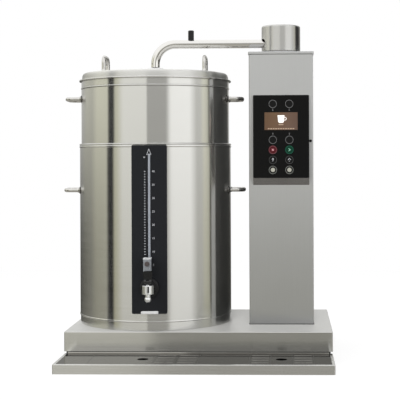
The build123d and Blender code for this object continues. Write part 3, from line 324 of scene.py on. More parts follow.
def steel(name, stretch, roughness, colour=steel_grey, contrast=0.1, relief=0.02, axis=None,
          brushed=None, edge=1.0):
    """Brushed steel whose grain runs where stretch is small, or round an upright axis.

    Brushing "X" or "Z" runs along that axis and "round" runs round the piece. It draws
    reflections out across the grain and keeps them crisp along it. Edge darkens low angles.
    """
    material = bpy.data.materials.new(name)
    tree = shader_tree(material)
    place = object_place(tree)
    if axis:
        offset, reach = off_axis(tree, axis)
        section = add(tree, "ShaderNodeCombineXYZ", {0: reach, 2: coordinate(tree, "Z")}).outputs[0]
        along = vector_maths(tree, "MULTIPLY", offset, streak_stretch)
        grain_place = vector_maths(tree, "ADD", along,
                                   vector_maths(tree, "MULTIPLY", section, stretch))
    else:
        grain_place = vector_maths(tree, "MULTIPLY", place, stretch)
    grain = add(tree, "ShaderNodeGroup", node_tree=steel_grain)
    tree.links.new(grain_place, grain.inputs["Vector"])
    tree.links.new(place, grain.inputs["Cloud Vector"])
    grain.inputs["Steel"].default_value = (*colour, 1)
    grain.inputs["Contrast"].default_value = contrast
    grain.inputs["Roughness"].default_value = roughness
    bump = add(tree, "ShaderNodeBump", {
        "Height": grain.outputs["Height"], "Strength": relief, "Distance": steel_depth,
    })
    shader = add(tree, "ShaderNodeBsdfPrincipled", {
        "Base Color": grain.outputs["Color"], "Metallic": 1.0,
        "Roughness": grain.outputs["Roughness"], "Normal": bump.outputs["Normal"],
        "Specular Tint": (edge, edge, edge, 1),
        "Anisotropic": 1.0 if brushed else 0.0,
        "Anisotropic Rotation": 0.25 if brushed == "round" else 0.0,
    })
    if brushed:
        tangent = add(tree, "ShaderNodeTangent", direction_type="RADIAL",
                      axis="X" if brushed == "X" else "Z")
        tree.links.new(tangent.outputs[0], shader.inputs["Tangent"])
    add(tree, "ShaderNodeOutputMaterial", {"Surface": shader.outputs[0]})
    return material


def shader_input(material, name):
    """Named input of the material's shader."""
    nodes_in_tree = material.node_tree.nodes
    return next(n for n in nodes_in_tree if n.type == "BSDF_PRINCIPLED").inputs[name]


def retone(material, share, colour, blend="MIX"):
    """Mixes a colour into the material's own where share is 1."""
    tree = material.node_tree
    base = shader_input(material, "Base Color")
    tone = base.links[0].from_socket
    tree.links.new(mixed(tree, share, tone, (*colour, 1), blend), base)


def frost_above(material, height, more_roughness, painted_gain):
    """Gives brushed steel a satin finish above a height, with its tone there painted by the gain:
    painted light over 1, painted shade under 1.
    """
    tree = material.node_tree
    frosted = maths(tree, "GREATER_THAN", coordinate(tree, "Z"), height)
    retone(material, frosted, (painted_gain,) * 3, "MULTIPLY")
    roughness = shader_input(material, "Roughness")
    rougher = maths(tree, "MULTIPLY_ADD", frosted, more_roughness, roughness.links[0].from_socket)
    tree.links.new(rougher, roughness)


def dress(material, *names):
    """Gives CAD nodes this material."""
    for name in names:
        mesh = nodes[name].data
        mesh.materials.clear()
        mesh.materials.append(material)


# Fine satin relief and a faint cloudiness for moulded plastic, rubber and printed ink.
moulded, given, made = new_group("moulded", [
    ("Vector", "NodeSocketVector", (0, 0, 0)),
    ("Tone", "NodeSocketColor", (0.5, 0.5, 0.5, 1)),
    ("Roughness", "NodeSocketFloat", 0.4),
], [("Color", "NodeSocketColor"), ("Roughness", "NodeSocketFloat"), ("Height", "NodeSocketFloat")])
satin = add(moulded, "ShaderNodeTexNoise", {
    "Vector": given.outputs["Vector"], "Scale": 1800.0, "Detail": 2.0,
})
cloud = add(moulded, "ShaderNodeTexNoise", {
    "Vector": given.outputs["Vector"], "Scale": 25.0, "Detail": 2.0,
})
darker = mixed(moulded, 1.0, given.outputs["Tone"], (0.84, 0.84, 0.84, 1), "MULTIPLY")
tone = mixed(moulded, cloud.outputs["Fac"], darker, given.outputs["Tone"])
grain = maths(moulded, "SUBTRACT", satin.outputs["Fac"], 0.5)
rough = maths(moulded, "MULTIPLY_ADD", grain, roughness_swing, given.outputs["Roughness"])
moulded.links.new(tone, made.inputs["Color"])
moulded.links.new(rough, made.inputs["Roughness"])
moulded.links.new(satin.outputs["Fac"], made.inputs["Height"])


def plastic(name, tone, roughness, specular=0.4, relief=0.05, alpha=1.0, glow=0.0):
    """Plastic, rubber, ink or foam of that tone; glow lights it from inside."""
    material = bpy.data.materials.new(name)
    tree = shader_tree(material)
    grain = add(tree, "ShaderNodeGroup", node_tree=moulded)
    tree.links.new(object_place(tree), grain.inputs["Vector"])
    grain.inputs["Tone"].default_value = (*tone, 1)
    grain.inputs["Roughness"].default_value = roughness
    bump = add(tree, "ShaderNodeBump", {
        "Height": grain.outputs["Height"], "Strength": relief, "Distance": satin_depth,
    })
    shader = add(tree, "ShaderNodeBsdfPrincipled", {
        "Base Color": grain.outputs["Color"], "Roughness": grain.outputs["Roughness"],
        "Specular IOR Level": specular, "Alpha": alpha, "Normal": bump.outputs["Normal"],
        "Emission Color": grain.outputs["Color"], "Emission Strength": glow,
    })
    add(tree, "ShaderNodeOutputMaterial", {"Surface": shader.outputs[0]})
    return material


long_steel = steel("steel_lengthwise", (8, 900, 900), 0.11, brushed="X")
base_top, satin_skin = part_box("base_cover")[1].z, 0.0005
# The satin top is painted a little darker: painted shade.
frost_above(long_steel, base_top - satin_skin, more_roughness=0.36, painted_gain=0.86)
bright_steel = steel("steel_bright", (300, 300, 300), 0.16, (0.72, 0.71, 0.69), 0.05)
rubber = plastic("rubber", (0.02, 0.02, 0.02), 0.7, 0.2, 0.1)
# The floor plate is painted near black: painted shade in the gap under the cover.
underside_shade_paint = plastic("underside_shade_paint", (0.025, 0.025, 0.025), 0.6, 0.2)
dress(long_steel, "base_cover")
dress(underside_shade_paint, "base_floor")
dress(bright_steel, "foot_nuts")
dress(rubber, "feet")

# ------------------------------------------------------------ drip tray
# Drawn sheet tray that slides from under the base, with a loose polished plate let into its rim.
# The plate has a round hole under the tap and one under the column, and fields of pressed beads
# between its folds.
plate_low, plate_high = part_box("drip_plate")
plate_inset = 0.002      # of folds and upstand from the plate's edges
bead_fields = ((-0.084, -0.036), (-0.026, 0.022), (0.168, 0.214), (0.281, 0.328))
beads_in_field = 4
bead_width, bead_rise, bead_depth, bead_margin = 0.0032, 0.0007, 0.0004, 0.022
fold_lines = (-0.261, -0.090, -0.031, 0.028, 0.163, 0.219, 0.276, 0.333)
fold_width, fold_rise, fold_depth = 0.0009, 0.0001, 0.0002
upstand_height, upstand_depth, upstand_thickness, upstand_bevel = 0.0046, 0.001, 0.0006, 0.0002
well_places = (-0.1215, 0.2472)
well_radius, well_top, well_floor, well_wall = 0.0185, 0.0232, 0.0080, 0.0010
crease = math.radians(35)      # sharper edges stay crisp


def finish_piece(name, bm, material, body):
    """Turns the drawn mesh into a piece that rides on the body."""
    for face in bm.faces:
        face.smooth = True
    for edge in bm.edges:
        if len(edge.link_faces) == 2 and edge.calc_face_angle(0) > crease:
            edge.smooth = False
    mesh = bpy.data.meshes.new(name)
    bm.to_mesh(mesh)
    bm.free()
    mesh.materials.append(material)
    piece = bpy.data.objects.new(name, mesh)
    bpy.context.scene.collection.objects.link(piece)
    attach(piece, body)


def block(bm, low, high, bevel=0.0):
    """Upright box between two corners, with its edges rounded."""
    size = Vector(high) - Vector(low)
    middle = (Vector(high) + Vector(low)) / 2
    place = Matrix.Translation(middle) @ Matrix.Diagonal((*size, 1.0))
    made = bmesh.ops.create_cube(bm, size=1.0, matrix=place)
    if bevel:
        edges = {edge for vert in made["verts"] for edge in vert.link_edges}
        bmesh.ops.bevel(bm, geom=list(edges), offset=bevel, segments=2, profile=0.5,
                        affect="EDGES", material=-1)


tray_steel = steel("steel_tray", (8, 900, 900), 0.18, brushed="X")
mirror_steel = steel("steel_mirror", (8, 1200, 1200), 0.09, (0.42, 0.41, 0.39), 0.05, 0.01,
                     edge=0.5)
fold_shade = plastic("fold_shade", (0.045, 0.045, 0.042), 0.5)
dress(tray_steel, "drip_tray")
dress(mirror_steel, "drip_plate")

bm = bmesh.new()
bead_pitch = (plate_high.y - plate_low.y - 2 * bead_margin) / (beads_in_field - 1)
for start, end in bead_fields:
    for row in range(beads_in_field):
        y = plate_low.y + bead_margin + row * bead_pitch
        block(bm, (start, y - bead_width / 2, plate_high.z - bead_depth),
              (end, y + bead_width / 2, plate_high.z + bead_rise), bead_rise)
finish_piece("plate_beads", bm, mirror_steel, "grate")

# The plate's rear edge is turned up.
bm = bmesh.new()
block(bm, (plate_low.x + plate_inset, plate_high.y - upstand_thickness,
           plate_high.z - upstand_depth),
      (plate_high.x - plate_inset, plate_high.y, plate_high.z + upstand_height), upstand_bevel)
finish_piece("plate_upstand", bm, mirror_steel, "grate")

# Dark rubber cups hang in the tray under the plate's holes; their black is painted shade inside the
# holes.
bm = bmesh.new()
for x in well_places:
    middle = Vector((x, (plate_low.y + plate_high.y) / 2, (well_top + well_floor) / 2))
    cup = bmesh.ops.create_cone(
        bm, cap_ends=True, segments=64, radius1=well_radius, radius2=well_radius,
        depth=well_top - well_floor, matrix=Matrix.Translation(middle))
    faces = {face for vert in cup["verts"] for face in vert.link_faces}
    lid_face = max(faces, key=lambda face: face.calc_center_median().z)
    bmesh.ops.inset_region(bm, faces=[lid_face], thickness=well_wall)
    pushed = bmesh.ops.extrude_discrete_faces(bm, faces=[lid_face])["faces"]
    floor_verts = list({vert for face in pushed for vert in face.verts})
    bmesh.ops.translate(bm, vec=(0, 0, well_floor - well_top + well_wall), verts=floor_verts)
finish_piece("drip_wells", bm, rubber, "tray")

# Fine dark strips run down the folds: painted shade in their grooves.
bm = bmesh.new()
for x in fold_lines:
    block(bm, (x - fold_width / 2, plate_low.y + plate_inset, plate_high.z - fold_depth),
          (x + fold_width / 2, plate_high.y - plate_inset, plate_high.z + fold_rise))
finish_piece("plate_folds", bm, fold_shade, "grate")

# ------------------------------------------------------------ column
# Brushed sheet wrapped round front and sides, brushed upright, with vent louvres near the top, a
# screwed cover at the back and a cap on a gasket. Water and power come in low at the back.
column_low, column_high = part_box("column_shell")
louvre_reach = 0.002      # of the vents out of each side
wall_depth, wall_shade_gain = 0.0012, 0.46
seam_proud, seam_height, seam_depth, seam_bevel = 0.0009, 0.0018, 0.0002, 0.0006
column_finish = ((900, 900, 8), 0.38, (0.585, 0.59, 0.60))
upright_steel = steel("steel_upright", *column_finish, brushed="Z")
# The same steel again, with painted shade on the wall towards the container.
column_wall_shaded_steel = steel("steel_column_wall_shade", *column_finish, brushed="Z")
brass = steel("brass", (300, 300, 300), 0.3, (0.70, 0.52, 0.25), 0.05)
black_matt = plastic("black_matt", (0.012, 0.013, 0.016), 0.48, 0.18)

# The wall that faces the container is painted darker: painted shade, which the container's side
# reflects.
tree = column_wall_shaded_steel.node_tree
wall_x = column_low.x + louvre_reach + wall_depth
in_painted_wall_shade = maths(tree, "LESS_THAN", coordinate(tree, "X"), wall_x)
retone(column_wall_shaded_steel, in_painted_wall_shade, (wall_shade_gain,) * 3, "MULTIPLY")
dress(column_wall_shaded_steel, "column_shell")
dress(upright_steel, "rear_cover", "column_cap")
dress(bright_steel, "rear_screws")
dress(rubber, "cap_gasket")
dress(brass, "water_inlet")
dress(black_matt, "cable_gland")

# Sealant runs round the column's foot.
bm = bmesh.new()
block(bm, (column_low.x + louvre_reach - seam_proud, column_low.y - seam_proud,
           base_top - seam_depth),
      (column_high.x - louvre_reach + seam_proud, column_high.y + seam_proud,
       base_top + seam_height), seam_bevel)
finish_piece("column_seam", bm, rubber, "brewer")

# ------------------------------------------------------------ control panel
# Shallow sheet housing leaned back a little, under a glossy black overlay with ten sprung keys
# and a lit window. The white and grey marks are printed on the overlay and on the keys.
overlay_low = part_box("panel_overlay")[0]
panel_lean = math.asin(0.014 / 0.236)      # its foot stands out 14 mm over a height of 236 mm
overlay_thickness = 0.003
print_film = 0.0002       # thickness of the ink
key_face = 0.0004         # height of a key's dished face over the overlay
key_collar = ((0.0099, 0.0003), (0.0100, 0.0005), (0.01035, 0.0011), (0.0112, 0.0011),
              (0.0117, 0.0007), (0.0117, 0.0003))      # section of the ring on a key's rim
merge_reach = 1e-7        # corners of a spun ring closer than this are one
key_columns = ("left", "right")
key_rows = (1, 2, 3, 4, 5)
panel_normal = Vector((0, -math.cos(panel_lean), math.sin(panel_lean)))
panel_up = Vector((0, math.sin(panel_lean), math.cos(panel_lean)))


def on_panel(x, z):
    """Place on the overlay's front at that width and height, with its own X, Y and outward Z."""
    foot = Vector((x, overlay_low.y, overlay_low.z + overlay_thickness * math.sin(panel_lean)))
    up = (z - foot.z) / math.cos(panel_lean)
    turn = Matrix((Vector((1, 0, 0)), panel_up, panel_normal)).transposed().to_4x4()
    return Matrix.Translation(foot + panel_up * up) @ turn


def on_node(node, rise=0.0):
    """Place over the middle of a CAD node in the panel."""
    low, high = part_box(node)
    middle = on_panel((low.x + high.x) / 2, (low.z + high.z) / 2)
    return middle @ Matrix.Translation((0, 0, rise))


def thicken(bm, faces, place):
    """Gives flat printed faces the ink film's thickness, outwards from the place's plane."""
    made = bmesh.ops.extrude_face_region(bm, geom=list(faces), use_keep_orig=True)["geom"]
    lifted = [part for part in made if isinstance(part, bmesh.types.BMVert)]
    outwards = place.to_3x3() @ Vector((0, 0, print_film))
    bmesh.ops.translate(bm, vec=outwards, verts=lifted)
    bmesh.ops.recalc_face_normals(bm, faces=bm.faces)


def print_disc(bm, place, radius, segments=48):
    """Printed disc on the place's plane."""
    made = bmesh.ops.create_circle(bm, cap_ends=True, segments=segments, radius=radius,
                                   matrix=place)
    thicken(bm, {face for vert in made["verts"] for face in vert.link_faces}, place)


def print_ring(bm, place, radius, width, segments=64):
    """Printed ring, radius to its middle line."""
    made = bmesh.ops.create_circle(bm, segments=segments, radius=radius - width / 2)
    edges = {edge for vert in made["verts"] for edge in vert.link_edges}
    outer = bmesh.ops.extrude_edge_only(bm, edges=list(edges))["geom"]
    moved = [part for part in outer if isinstance(part, bmesh.types.BMVert)]
    growth = (radius + width / 2) / (radius - width / 2)
    bmesh.ops.scale(bm, vec=(growth, growth, 1), verts=moved)
    bmesh.ops.transform(bm, matrix=place, verts=made["verts"] + moved)
    thicken(bm, {face for vert in moved for face in vert.link_faces}, place)


def print_bar(bm, place, start, end, width):
    """Printed bar from one point of the place's plane to another."""
    start, end = Vector((*start, 0)), Vector((*end, 0))
    run = end - start
    turn = Matrix.Rotation(math.atan2(run.y, run.x), 4, "Z")
    shape = (Matrix.Translation((start + end) / 2) @ turn
             @ Matrix.Diagonal((run.length, width, 1, 1)))
    made = bmesh.ops.create_grid(bm, x_segments=1, y_segments=1, size=0.5, matrix=place @ shape)
    thicken(bm, {face for vert in made["verts"] for face in vert.link_faces}, place)


def spin_ring(bm, place, section, steps=64):
    """Ring spun round the place's own Z from a closed section of radii and heights."""
    points = [bm.verts.new(place @ Vector((radius, 0, height))) for radius, height in section]
    edges = [bm.edges.new(pair) for pair in zip(points, points[1:] + points[:1])]
    bmesh.ops.spin(bm, geom=points + edges, cent=place.translation, axis=place.to_3x3().col[2],
                   angle=2 * math.pi, steps=steps, use_merge=True, use_duplicate=False)
    bmesh.ops.remove_doubles(bm, verts=bm.verts, dist=merge_reach)
    bmesh.ops.recalc_face_normals(bm, faces=bm.faces)


def display_lit():
    """Lit liquid-crystal window: warm brown, a little yellower to the left."""
    low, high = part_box("display_window")
    width = high.x - low.x
    material = bpy.data.materials.new("display_lit")
    tree = shader_tree(material)
    spread = add(tree, "ShaderNodeMapping", {
        "Vector": object_place(tree), "Location": (-low.x / width, 0, 0),
        "Scale": (1 / width,) * 3,
    }).outputs[0]
    across = add(tree, "ShaderNodeSeparateXYZ", {0: spread}).outputs["X"]
    tone = ramp(tree, across, [
        (0.0, (0.075, 0.042, 0.020)), (0.3, (0.105, 0.062, 0.030)),
        (0.7, (0.098, 0.064, 0.046)), (1.0, (0.072, 0.048, 0.038)),
    ])
    cloud = add(tree, "ShaderNodeTexNoise", {"Vector": spread, "Scale": 5.0})
    tone = mixed(tree, cloud.outputs["Fac"], tone, (0.092, 0.052, 0.034, 1))
    shader = add(tree, "ShaderNodeBsdfPrincipled", {
        "Base Color": tone, "Roughness": 0.3, "Specular IOR Level": 0.3,
        "Emission Color": tone, "Emission Strength": 0.55,
    })
    add(tree, "ShaderNodeOutputMaterial", {"Surface": shader.outputs[0]})
    return material


housing_steel = steel("steel_housing", (8, 900, 900), 0.16, (0.30, 0.29, 0.28), brushed="X")
black_gloss = plastic("black_gloss", (0.004, 0.004, 0.004), 0.22, 0.14, 0.01)
key_gloss = plastic("key_gloss", (0.006, 0.006, 0.006), 0.26, 0.16, 0.01)
ink_white = plastic("ink_white", (0.62, 0.63, 0.66), 0.5, 0.2)
ink_grey = plastic("ink_grey", (0.19, 0.19, 0.19), 0.5, 0.2)
ink_pale = plastic("ink_pale", (0.24, 0.25, 0.23), 0.5, 0.2)
ink_dim = plastic("ink_dim", (0.075, 0.075, 0.075), 0.5, 0.2)
lamp_red = plastic("lamp_red", (0.060, 0.0036, 0.007), 0.4, 0.2, glow=0.4)
red_ring = plastic("red_ring", (0.17, 0.07, 0.078), 0.4, 0.2, glow=0.3)
lamp_green = plastic("lamp_green", (0.0, 0.030, 0.014), 0.4, 0.2, glow=0.3)
green_ring = plastic("green_ring", (0.010, 0.090, 0.056), 0.4, 0.2, glow=0.3)
lamp_white = plastic("lamp_white", (0.42, 0.42, 0.36), 0.4, 0.2, glow=0.15)
mark_red = plastic("mark_red", (0.66, 0.34, 0.36), 0.4, 0.2, glow=0.4)
mark_green = plastic("mark_green", (0.32, 0.66, 0.50), 0.4, 0.2, glow=0.3)
dress(housing_steel, "panel_housing")
dress(black_gloss, "panel_overlay", "panel_lock")
dress(display_lit(), "display_window")
dress(key_gloss, *(f"key_{row}_{column}" for row in key_rows for column in key_columns))
dress(lamp_red, "key_3_left")
dress(lamp_green, "key_3_right")


def finish_key_piece(node, kind, bm, ink):
    """Lets what is drawn on a key ride on the key's body."""
    finish_piece(f"{node}_{kind}", bm, ink, f"body_{node}")


# Every key has a ring on its rim, lit round the start and stop keys.
ring_inks = {1: (ink_grey, ink_grey), 2: (ink_grey, ink_grey), 3: (red_ring, green_ring),
             4: (ink_dim, ink_dim), 5: (ink_pale, ink_pale)}
for row in key_rows:
    for column, ring_ink in zip(key_columns, ring_inks[row]):
        node = f"key_{row}_{column}"
        bm = bmesh.new()
        spin_ring(bm, on_node(node), key_collar)
        finish_key_piece(node, "ring", bm, ring_ink)

# Marks on single keys: a stop cross, a start arrow, a drop, an up arrow, and two lit discs.
key_marks = {
    "key_3_left": (mark_red, 0.0016, [((-0.0028, -0.0028), (0.0028, 0.0028)),
                                      ((-0.0028, 0.0028), (0.0028, -0.0028))]),
    "key_3_right": (mark_green, 0.0015, [((-0.0022, 0.0034), (0.0030, 0.0)),
                                         ((0.0030, 0.0), (-0.0022, -0.0034))]),
    "key_4_left": (ink_white, 0.0015, [((-0.0026, 0.0006), (0.0, 0.0052)),
                                       ((0.0, 0.0052), (0.0026, 0.0006)),
                                       ((0.0014, 0.0), (-0.0012, -0.0042))]),
    "key_4_right": (ink_white, 0.0014, [((-0.0042, -0.0004), (0.0, 0.0042)),
                                        ((0.0, 0.0042), (0.0042, -0.0004)),
                                        ((-0.0014, -0.0036), (0.0014, -0.0036))]),
}
for node, (ink, width, bars) in key_marks.items():
    bm = bmesh.new()
    for start, end in bars:
        print_bar(bm, on_node(node, key_face), start, end, width)
    finish_key_piece(node, "mark", bm, ink)
key_lamp_radius = 0.0060
for column in key_columns:
    node = f"key_5_{column}"
    bm = bmesh.new()
    print_disc(bm, on_node(node, key_face), key_lamp_radius)
    finish_key_piece(node, "lamp", bm, lamp_white)

# Short stems on the overlay tie the four menu keys to the window.
stem_width, stem_start, stem_end = 0.0014, 0.0132, 0.0190
stem_blob, stem_blob_at = 0.0017, 0.0182
bm = bmesh.new()
for column in key_columns:
    for row, way in ((1, -1), (2, 1)):
        low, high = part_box(f"key_{row}_{column}")
        x, z = (low.x + high.x) / 2, (low.z + high.z) / 2
        print_bar(bm, on_panel(x, z), (0, way * stem_start), (0, way * stem_end), stem_width)
        print_disc(bm, on_panel(x, z + way * stem_blob_at), stem_blob, 24)
finish_piece("overlay_stems", bm, ink_grey, "brewer")

# The window shows a plain cup over a line of dashes.
lit_white = plastic("lit_white", (0.90, 0.86, 0.82), 0.4, 0.2, glow=0.5)
lit_dim = plastic("lit_dim", (0.50, 0.38, 0.28), 0.4, 0.2, glow=0.5)
window_middle = on_node("display_window")
cup_outline = [(-0.0100, 0.0170), (0.0100, 0.0170), (0.0080, -0.0020), (0.0050, -0.0050),
               (-0.0050, -0.0050), (-0.0080, -0.0020)]
cup_ear, ear_radius, ear_width = (0.0108, 0.0070, 0), 0.0042, 0.0018
saucer_y, saucer_reach, saucer_width = -0.0100, 0.0070, 0.0016
dash_count, dash_pitch, dash_length, dash_width, dash_y = 11, 0.0070, 0.0048, 0.0022, -0.0215
bm = bmesh.new()
corners = [bm.verts.new(window_middle @ Vector((x, y, 0))) for x, y in cup_outline]
thicken(bm, [bm.faces.new(corners)], window_middle)
print_ring(bm, window_middle @ Matrix.Translation(cup_ear), ear_radius, ear_width, 32)
finish_piece("window_cup", bm, lit_white, "brewer")
bm = bmesh.new()
for number in range(dash_count):
    x = (number - (dash_count - 1) / 2) * dash_pitch
    print_bar(bm, window_middle, (x - dash_length / 2, dash_y), (x + dash_length / 2, dash_y),
              dash_width)
print_bar(bm, window_middle, (-saucer_reach, saucer_y), (saucer_reach, saucer_y), saucer_width)
finish_piece("window_dashes", bm, lit_dim, "brewer")

# ------------------------------------------------------------ water works inside the column
# Welded boiler with its element and riser, the inlet valve and the control board. The cover hides
# them all, so they keep the workshop's plain finishes.
board_green = plastic("board_green", (0.03, 0.20, 0.10), 0.4)
dress(bright_steel, "boiler_tank", "heating_element", "riser_pipe")
dress(brass, "inlet_valve")
dress(board_green, "control_board")

# ------------------------------------------------------------ swivel head and pipe
# Drum brushed round its axis, turning on a white bearing ring over the column's cap. The polished
# pipe comes out of its slot, runs level over the lid and turns down into the lid's hub.
drum_low, drum_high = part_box("head_drum")
white_plastic = plastic("white_plastic", (0.86, 0.86, 0.86), 0.4)
black_satin = plastic("black_satin", (0.010, 0.010, 0.011), 0.35, 0.3)
drum_steel = steel("steel_drum", (0, 0, 900), 0.34, contrast=0.08,
                   axis=(drum_low + drum_high) / 2, brushed="round")
pipe_steel = steel("steel_pipe", (300, 300, 300), 0.10, (0.72, 0.71, 0.69), 0.04, 0.01)
dress(drum_steel, "head_drum")
dress(white_plastic, "swivel_bearing")
dress(brass, "swivel_hub")
dress(pipe_steel, "swivel_pipe")
dress(black_satin, "arm_knob")

# ------------------------------------------------------------ container
# Double-walled drum of sheet brushed round its axis, with foam between the walls, a plain foot
# ring, a rolled ring that closes the walls at the top, and a pair of cast grips.
shell_low, shell_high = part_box("container_shell")
container_middle = (shell_low + shell_high) / 2
shell_radius = (shell_high.x - shell_low.x) / 2
# Grips are painted dark where they meet the wall: painted shade at their feet.
foot_shade_tint, foot_shade_reach = (0.10, 0.095, 0.09), (0.006, 0.001)      # off the wall: end, full tint
bead_section = ((-0.0005, -0.0066), (0.0010, -0.0062), (0.0016, -0.0050), (0.0016, -0.0024),
                (0.0010, -0.0012), (-0.0005, -0.0008))
foot_bead_section = ((-0.0005, 0.0000), (0.0005, 0.0008), (0.0009, 0.0024), (0.0009, 0.0034),
                     (0.0005, 0.0050), (-0.0005, 0.0058))
round_steel = steel("steel_round", (0, 0, 900), 0.18, contrast=0.07, axis=container_middle,
                    brushed="round")


def welded_steel(name, wall_radius):
    """Cast steel painted dark where it meets a wall of this radius: painted shade at the grip's
    foot.
    """
    material = steel(name, (250, 250, 250), 0.26, (0.62, 0.61, 0.59), 0.05)
    tree = material.node_tree
    fades_at, full_at = (wall_radius + reach for reach in foot_shade_reach)
    reach = off_axis(tree, container_middle)[1]
    retone(material, share_between(tree, reach, fades_at, full_at, "LINEAR"), foot_shade_tint)
    return material


def spin_bead(bm, radius, height, section):
    """Bead round the container's axis whose section is measured from a wall and a height."""
    foot = Matrix.Translation((container_middle.x, container_middle.y, 0))
    spin_ring(bm, foot, [(radius + out, height + up) for out, up in section], steps=256)


foam = plastic("foam", (0.70, 0.60, 0.35), 0.85, 0.1, 0.4)
dress(round_steel, "foot_ring", "container_shell", "inner_vessel", "container_rim")
dress(welded_steel("steel_grips", shell_radius), "container_grips")
dress(foam, "insulation")

# Beads are rolled under the ring and over the foot.
bm = bmesh.new()
spin_bead(bm, shell_radius, shell_high.z, bead_section)
spin_bead(bm, shell_radius, shell_low.z, foot_bead_section)
finish_piece("container_bead", bm, round_steel, "container")

# ------------------------------------------------------------ filter basket
# Spun basket that stands on the container's ring, with a rolled top edge, a slotted plate on its
# floor and its own grips.
basket_low, basket_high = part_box("filter_basket")
basket_radius = (basket_high.x - basket_low.x) / 2
edge_section = ((0.0, -0.0046), (0.0008, -0.0040), (0.0012, -0.0026), (0.0010, -0.0012),
                (0.0004, -0.0004), (-0.0004, -0.0004), (-0.0004, -0.0046))
dress(round_steel, "filter_basket", "filter_plate")
dress(welded_steel("steel_basket_grips", basket_radius), "basket_grips")
bm = bmesh.new()
spin_bead(bm, basket_radius, basket_high.z, edge_section)
finish_piece("basket_edge", bm, round_steel, "basket")

# ------------------------------------------------------------ lid
# Spun dome with a bright lip over the basket's edge, a satin top painted paler as a painted
# highlight, two cast grips, and a white hub in the middle that takes the water pipe.
dome_starts_z = 0.7868
lid_steel = steel("steel_lid", (0, 0, 900), 0.19, contrast=0.07, axis=container_middle,
                  brushed="round")
# The satin top is painted paler: a painted highlight.
frost_above(lid_steel, dome_starts_z, more_roughness=0.24, painted_gain=1.32)
grip_steel = steel("steel_grip", (250, 250, 250), 0.20, (0.60, 0.59, 0.57), 0.05)
dress(lid_steel, "lid_dome")
dress(grip_steel, "lid_loops")
dress(white_plastic, "lid_hub")

# ------------------------------------------------------------ level gauge
# Matt black moulding down the drum's front with a glass tube in its channel. Its litre scale is
# printed in white, with a number every five litres, and the tube stands in a grey fitting.
gauge_low, gauge_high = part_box("gauge_housing")
gauge_middle_x = (gauge_low.x + gauge_high.x) / 2
mark_pitch, mark_count = 0.0366, 8
lowest_mark_z, litres_per_mark = 0.2679, 5
number_x, number_height = 0.0118, 0.0056
figure_share = 0.72      # of the font's size that its figures are high
tick_x, tick_reach, tick_width, lowest_tick_z = -0.0117, 0.0018, 0.0018, 0.296
arrow_corners, arrow_width = [(-0.0060, 0.5700), (0.0060, 0.5700), (0.0, 0.5860)], 0.0012
top_mark_x, top_mark_z, top_mark_width = -0.0130, 0.5635, 0.0014
top_mark_bars = (((-0.0028, 0), (0.0028, 0)), ((0, -0.0034), (0, -0.0007)))
tube_glass = plastic("tube_glass", (0.42, 0.45, 0.50), 0.12, 0.6, 0.0, alpha=0.85)
grey_plastic = plastic("grey_plastic", (0.30, 0.315, 0.335), 0.30)
silicone = plastic("silicone", (0.66, 0.67, 0.68), 0.5)
slide_brown = plastic("knob_brown", (0.088, 0.070, 0.069), 0.4)
dress(black_matt, "gauge_housing")
dress(tube_glass, "sight_tube")
dress(grey_plastic, "gauge_fitting")
dress(slide_brown, "gauge_knob")


def on_gauge(x, z):
    """Place on the moulding's flat front, x from its middle line."""
    upright_front = Matrix.Rotation(math.radians(90), 4, "X")
    return Matrix.Translation((gauge_middle_x + x, gauge_low.y, z)) @ upright_front


def print_figure(bm, place, text, height):
    """Plain printed number centred on the place."""
    curve = bpy.data.curves.new("figure", "FONT")
    curve.body = text
    curve.size = height / figure_share
    curve.align_x = "CENTER"
    curve.align_y = "CENTER"
    holder = bpy.data.objects.new("figure", curve)
    mesh = bpy.data.meshes.new_from_object(holder)
    mesh.transform(place)
    before = set(bm.faces)
    bm.from_mesh(mesh)
    thicken(bm, [face for face in bm.faces if face not in before], place)
    bpy.data.objects.remove(holder)
    bpy.data.meshes.remove(mesh)
    bpy.data.curves.remove(curve)


bm = bmesh.new()
for number in range(mark_count):
    z = lowest_mark_z + number * mark_pitch
    litres = (number + 1) * litres_per_mark
    print_figure(bm, on_gauge(number_x, z), str(litres), number_height)
    for step in range(litres_per_mark):
        tick_z = z - step * mark_pitch / litres_per_mark
        if tick_z > lowest_tick_z:
            print_bar(bm, on_gauge(tick_x, tick_z), (-tick_reach, 0), (tick_reach, 0), tick_width)
for start, end in zip(arrow_corners, arrow_corners[1:] + arrow_corners[:1]):
    print_bar(bm, on_gauge(0, 0), start, end, arrow_width)
for start, end in top_mark_bars:
    print_bar(bm, on_gauge(top_mark_x, top_mark_z), start, end, top_mark_width)
finish_piece("gauge_scale", bm, ink_white, "container")

# Pale band round the tube where it enters the fitting's top: a painted highlight on the fitting's
# top edge.
fitting_low, fitting_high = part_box("gauge_fitting")
highlight_height, highlight_proud, highlight_bevel = 0.0036, 0.0003, 0.0005
bm = bmesh.new()
block(bm, (fitting_low.x + highlight_proud, fitting_low.y - highlight_proud,
           fitting_high.z - highlight_height),
      (fitting_high.x - highlight_proud, gauge_low.y + highlight_bevel, fitting_high.z + highlight_proud),
      highlight_bevel)
finish_piece("fitting_top_highlight", bm, silicone, "container")

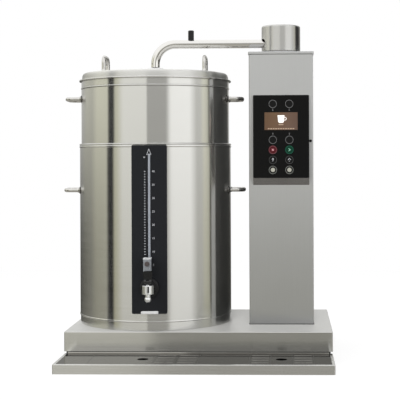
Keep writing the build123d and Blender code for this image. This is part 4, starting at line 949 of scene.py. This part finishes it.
# Bright clip in the notch at the moulding's foot.
clip_half_width, clip_front, clip_back, clip_bevel = 0.0240, 0.0012, 0.0062, 0.0012
clip_low_z, clip_high_z = -0.0003, 0.0078      # from the moulding's lower edge
bm = bmesh.new()
block(bm, (gauge_middle_x - clip_half_width, gauge_low.y + clip_front, gauge_low.z + clip_low_z),
      (gauge_middle_x + clip_half_width, gauge_low.y + clip_back, gauge_low.z + clip_high_z),
      clip_bevel)
finish_piece("gauge_clip", bm, white_plastic, "container")

# ------------------------------------------------------------ tap
# Small cast tap with a black escutcheon on the drum, a chromed barrel and outlet, and a black
# lever hung on a pin. A silicone cup seals it inside.
barrel_top = 0.2196
chrome_finish = ((200, 200, 200), 0.30, (0.86, 0.87, 0.89), 0.03, 0.005)
chrome = steel("chrome", *chrome_finish)
chrome_tap = steel("chrome_tap", *chrome_finish)
lacquer = plastic("lacquer", (0.006, 0.006, 0.007), 0.14, 0.6, 0.02)

# The body is lacquered black above its barrel.
tree = chrome_tap.node_tree
height = coordinate(tree, "Z")
retone(chrome_tap, maths(tree, "GREATER_THAN", height, barrel_top), (0.01, 0.01, 0.011))
tree.links.new(maths(tree, "LESS_THAN", height, barrel_top), shader_input(chrome_tap, "Metallic"))
dress(chrome_tap, "tap_body")
dress(chrome, "tap_nozzle", "tap_nut")
dress(lacquer, "tap_lever")
dress(black_satin, "tap_escutcheon", "tap_pin")
dress(silicone, "tap_seal")

# The barrel's slot on its left is a black block: painted shade for the slot's hollow.
slot_low, slot_high, slot_bevel = (-0.1111, -0.2094, 0.1990), (-0.1066, -0.2040, 0.2152), 0.0006
bm = bmesh.new()
block(bm, slot_low, slot_high, slot_bevel)
finish_piece("tap_slot", bm, black_satin, "container")

# Raised rings of the escutcheon's moulding, which looks a little to the drum's side.
ring_radii, ring_sunk = (0.0165, 0.0215), 0.0010
ring_section = ((-0.0008, 0.0), (-0.0006, 0.0012), (0.0, 0.0016), (0.0006, 0.0012), (0.0008, 0.0))
tap_turn = math.radians(2)
escutcheon_low, escutcheon_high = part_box("tap_escutcheon")
middle = (escutcheon_low + escutcheon_high) / 2
facing = (Matrix.Translation((middle.x, escutcheon_low.y + ring_sunk, middle.z))
          @ Matrix.Rotation(tap_turn, 4, "Z") @ Matrix.Rotation(math.radians(90), 4, "X"))
bm = bmesh.new()
for radius in ring_radii:
    spin_ring(bm, facing, [(radius + out, rise) for out, rise in ring_section])
finish_piece("escutcheon_rings", bm, black_satin, "container")
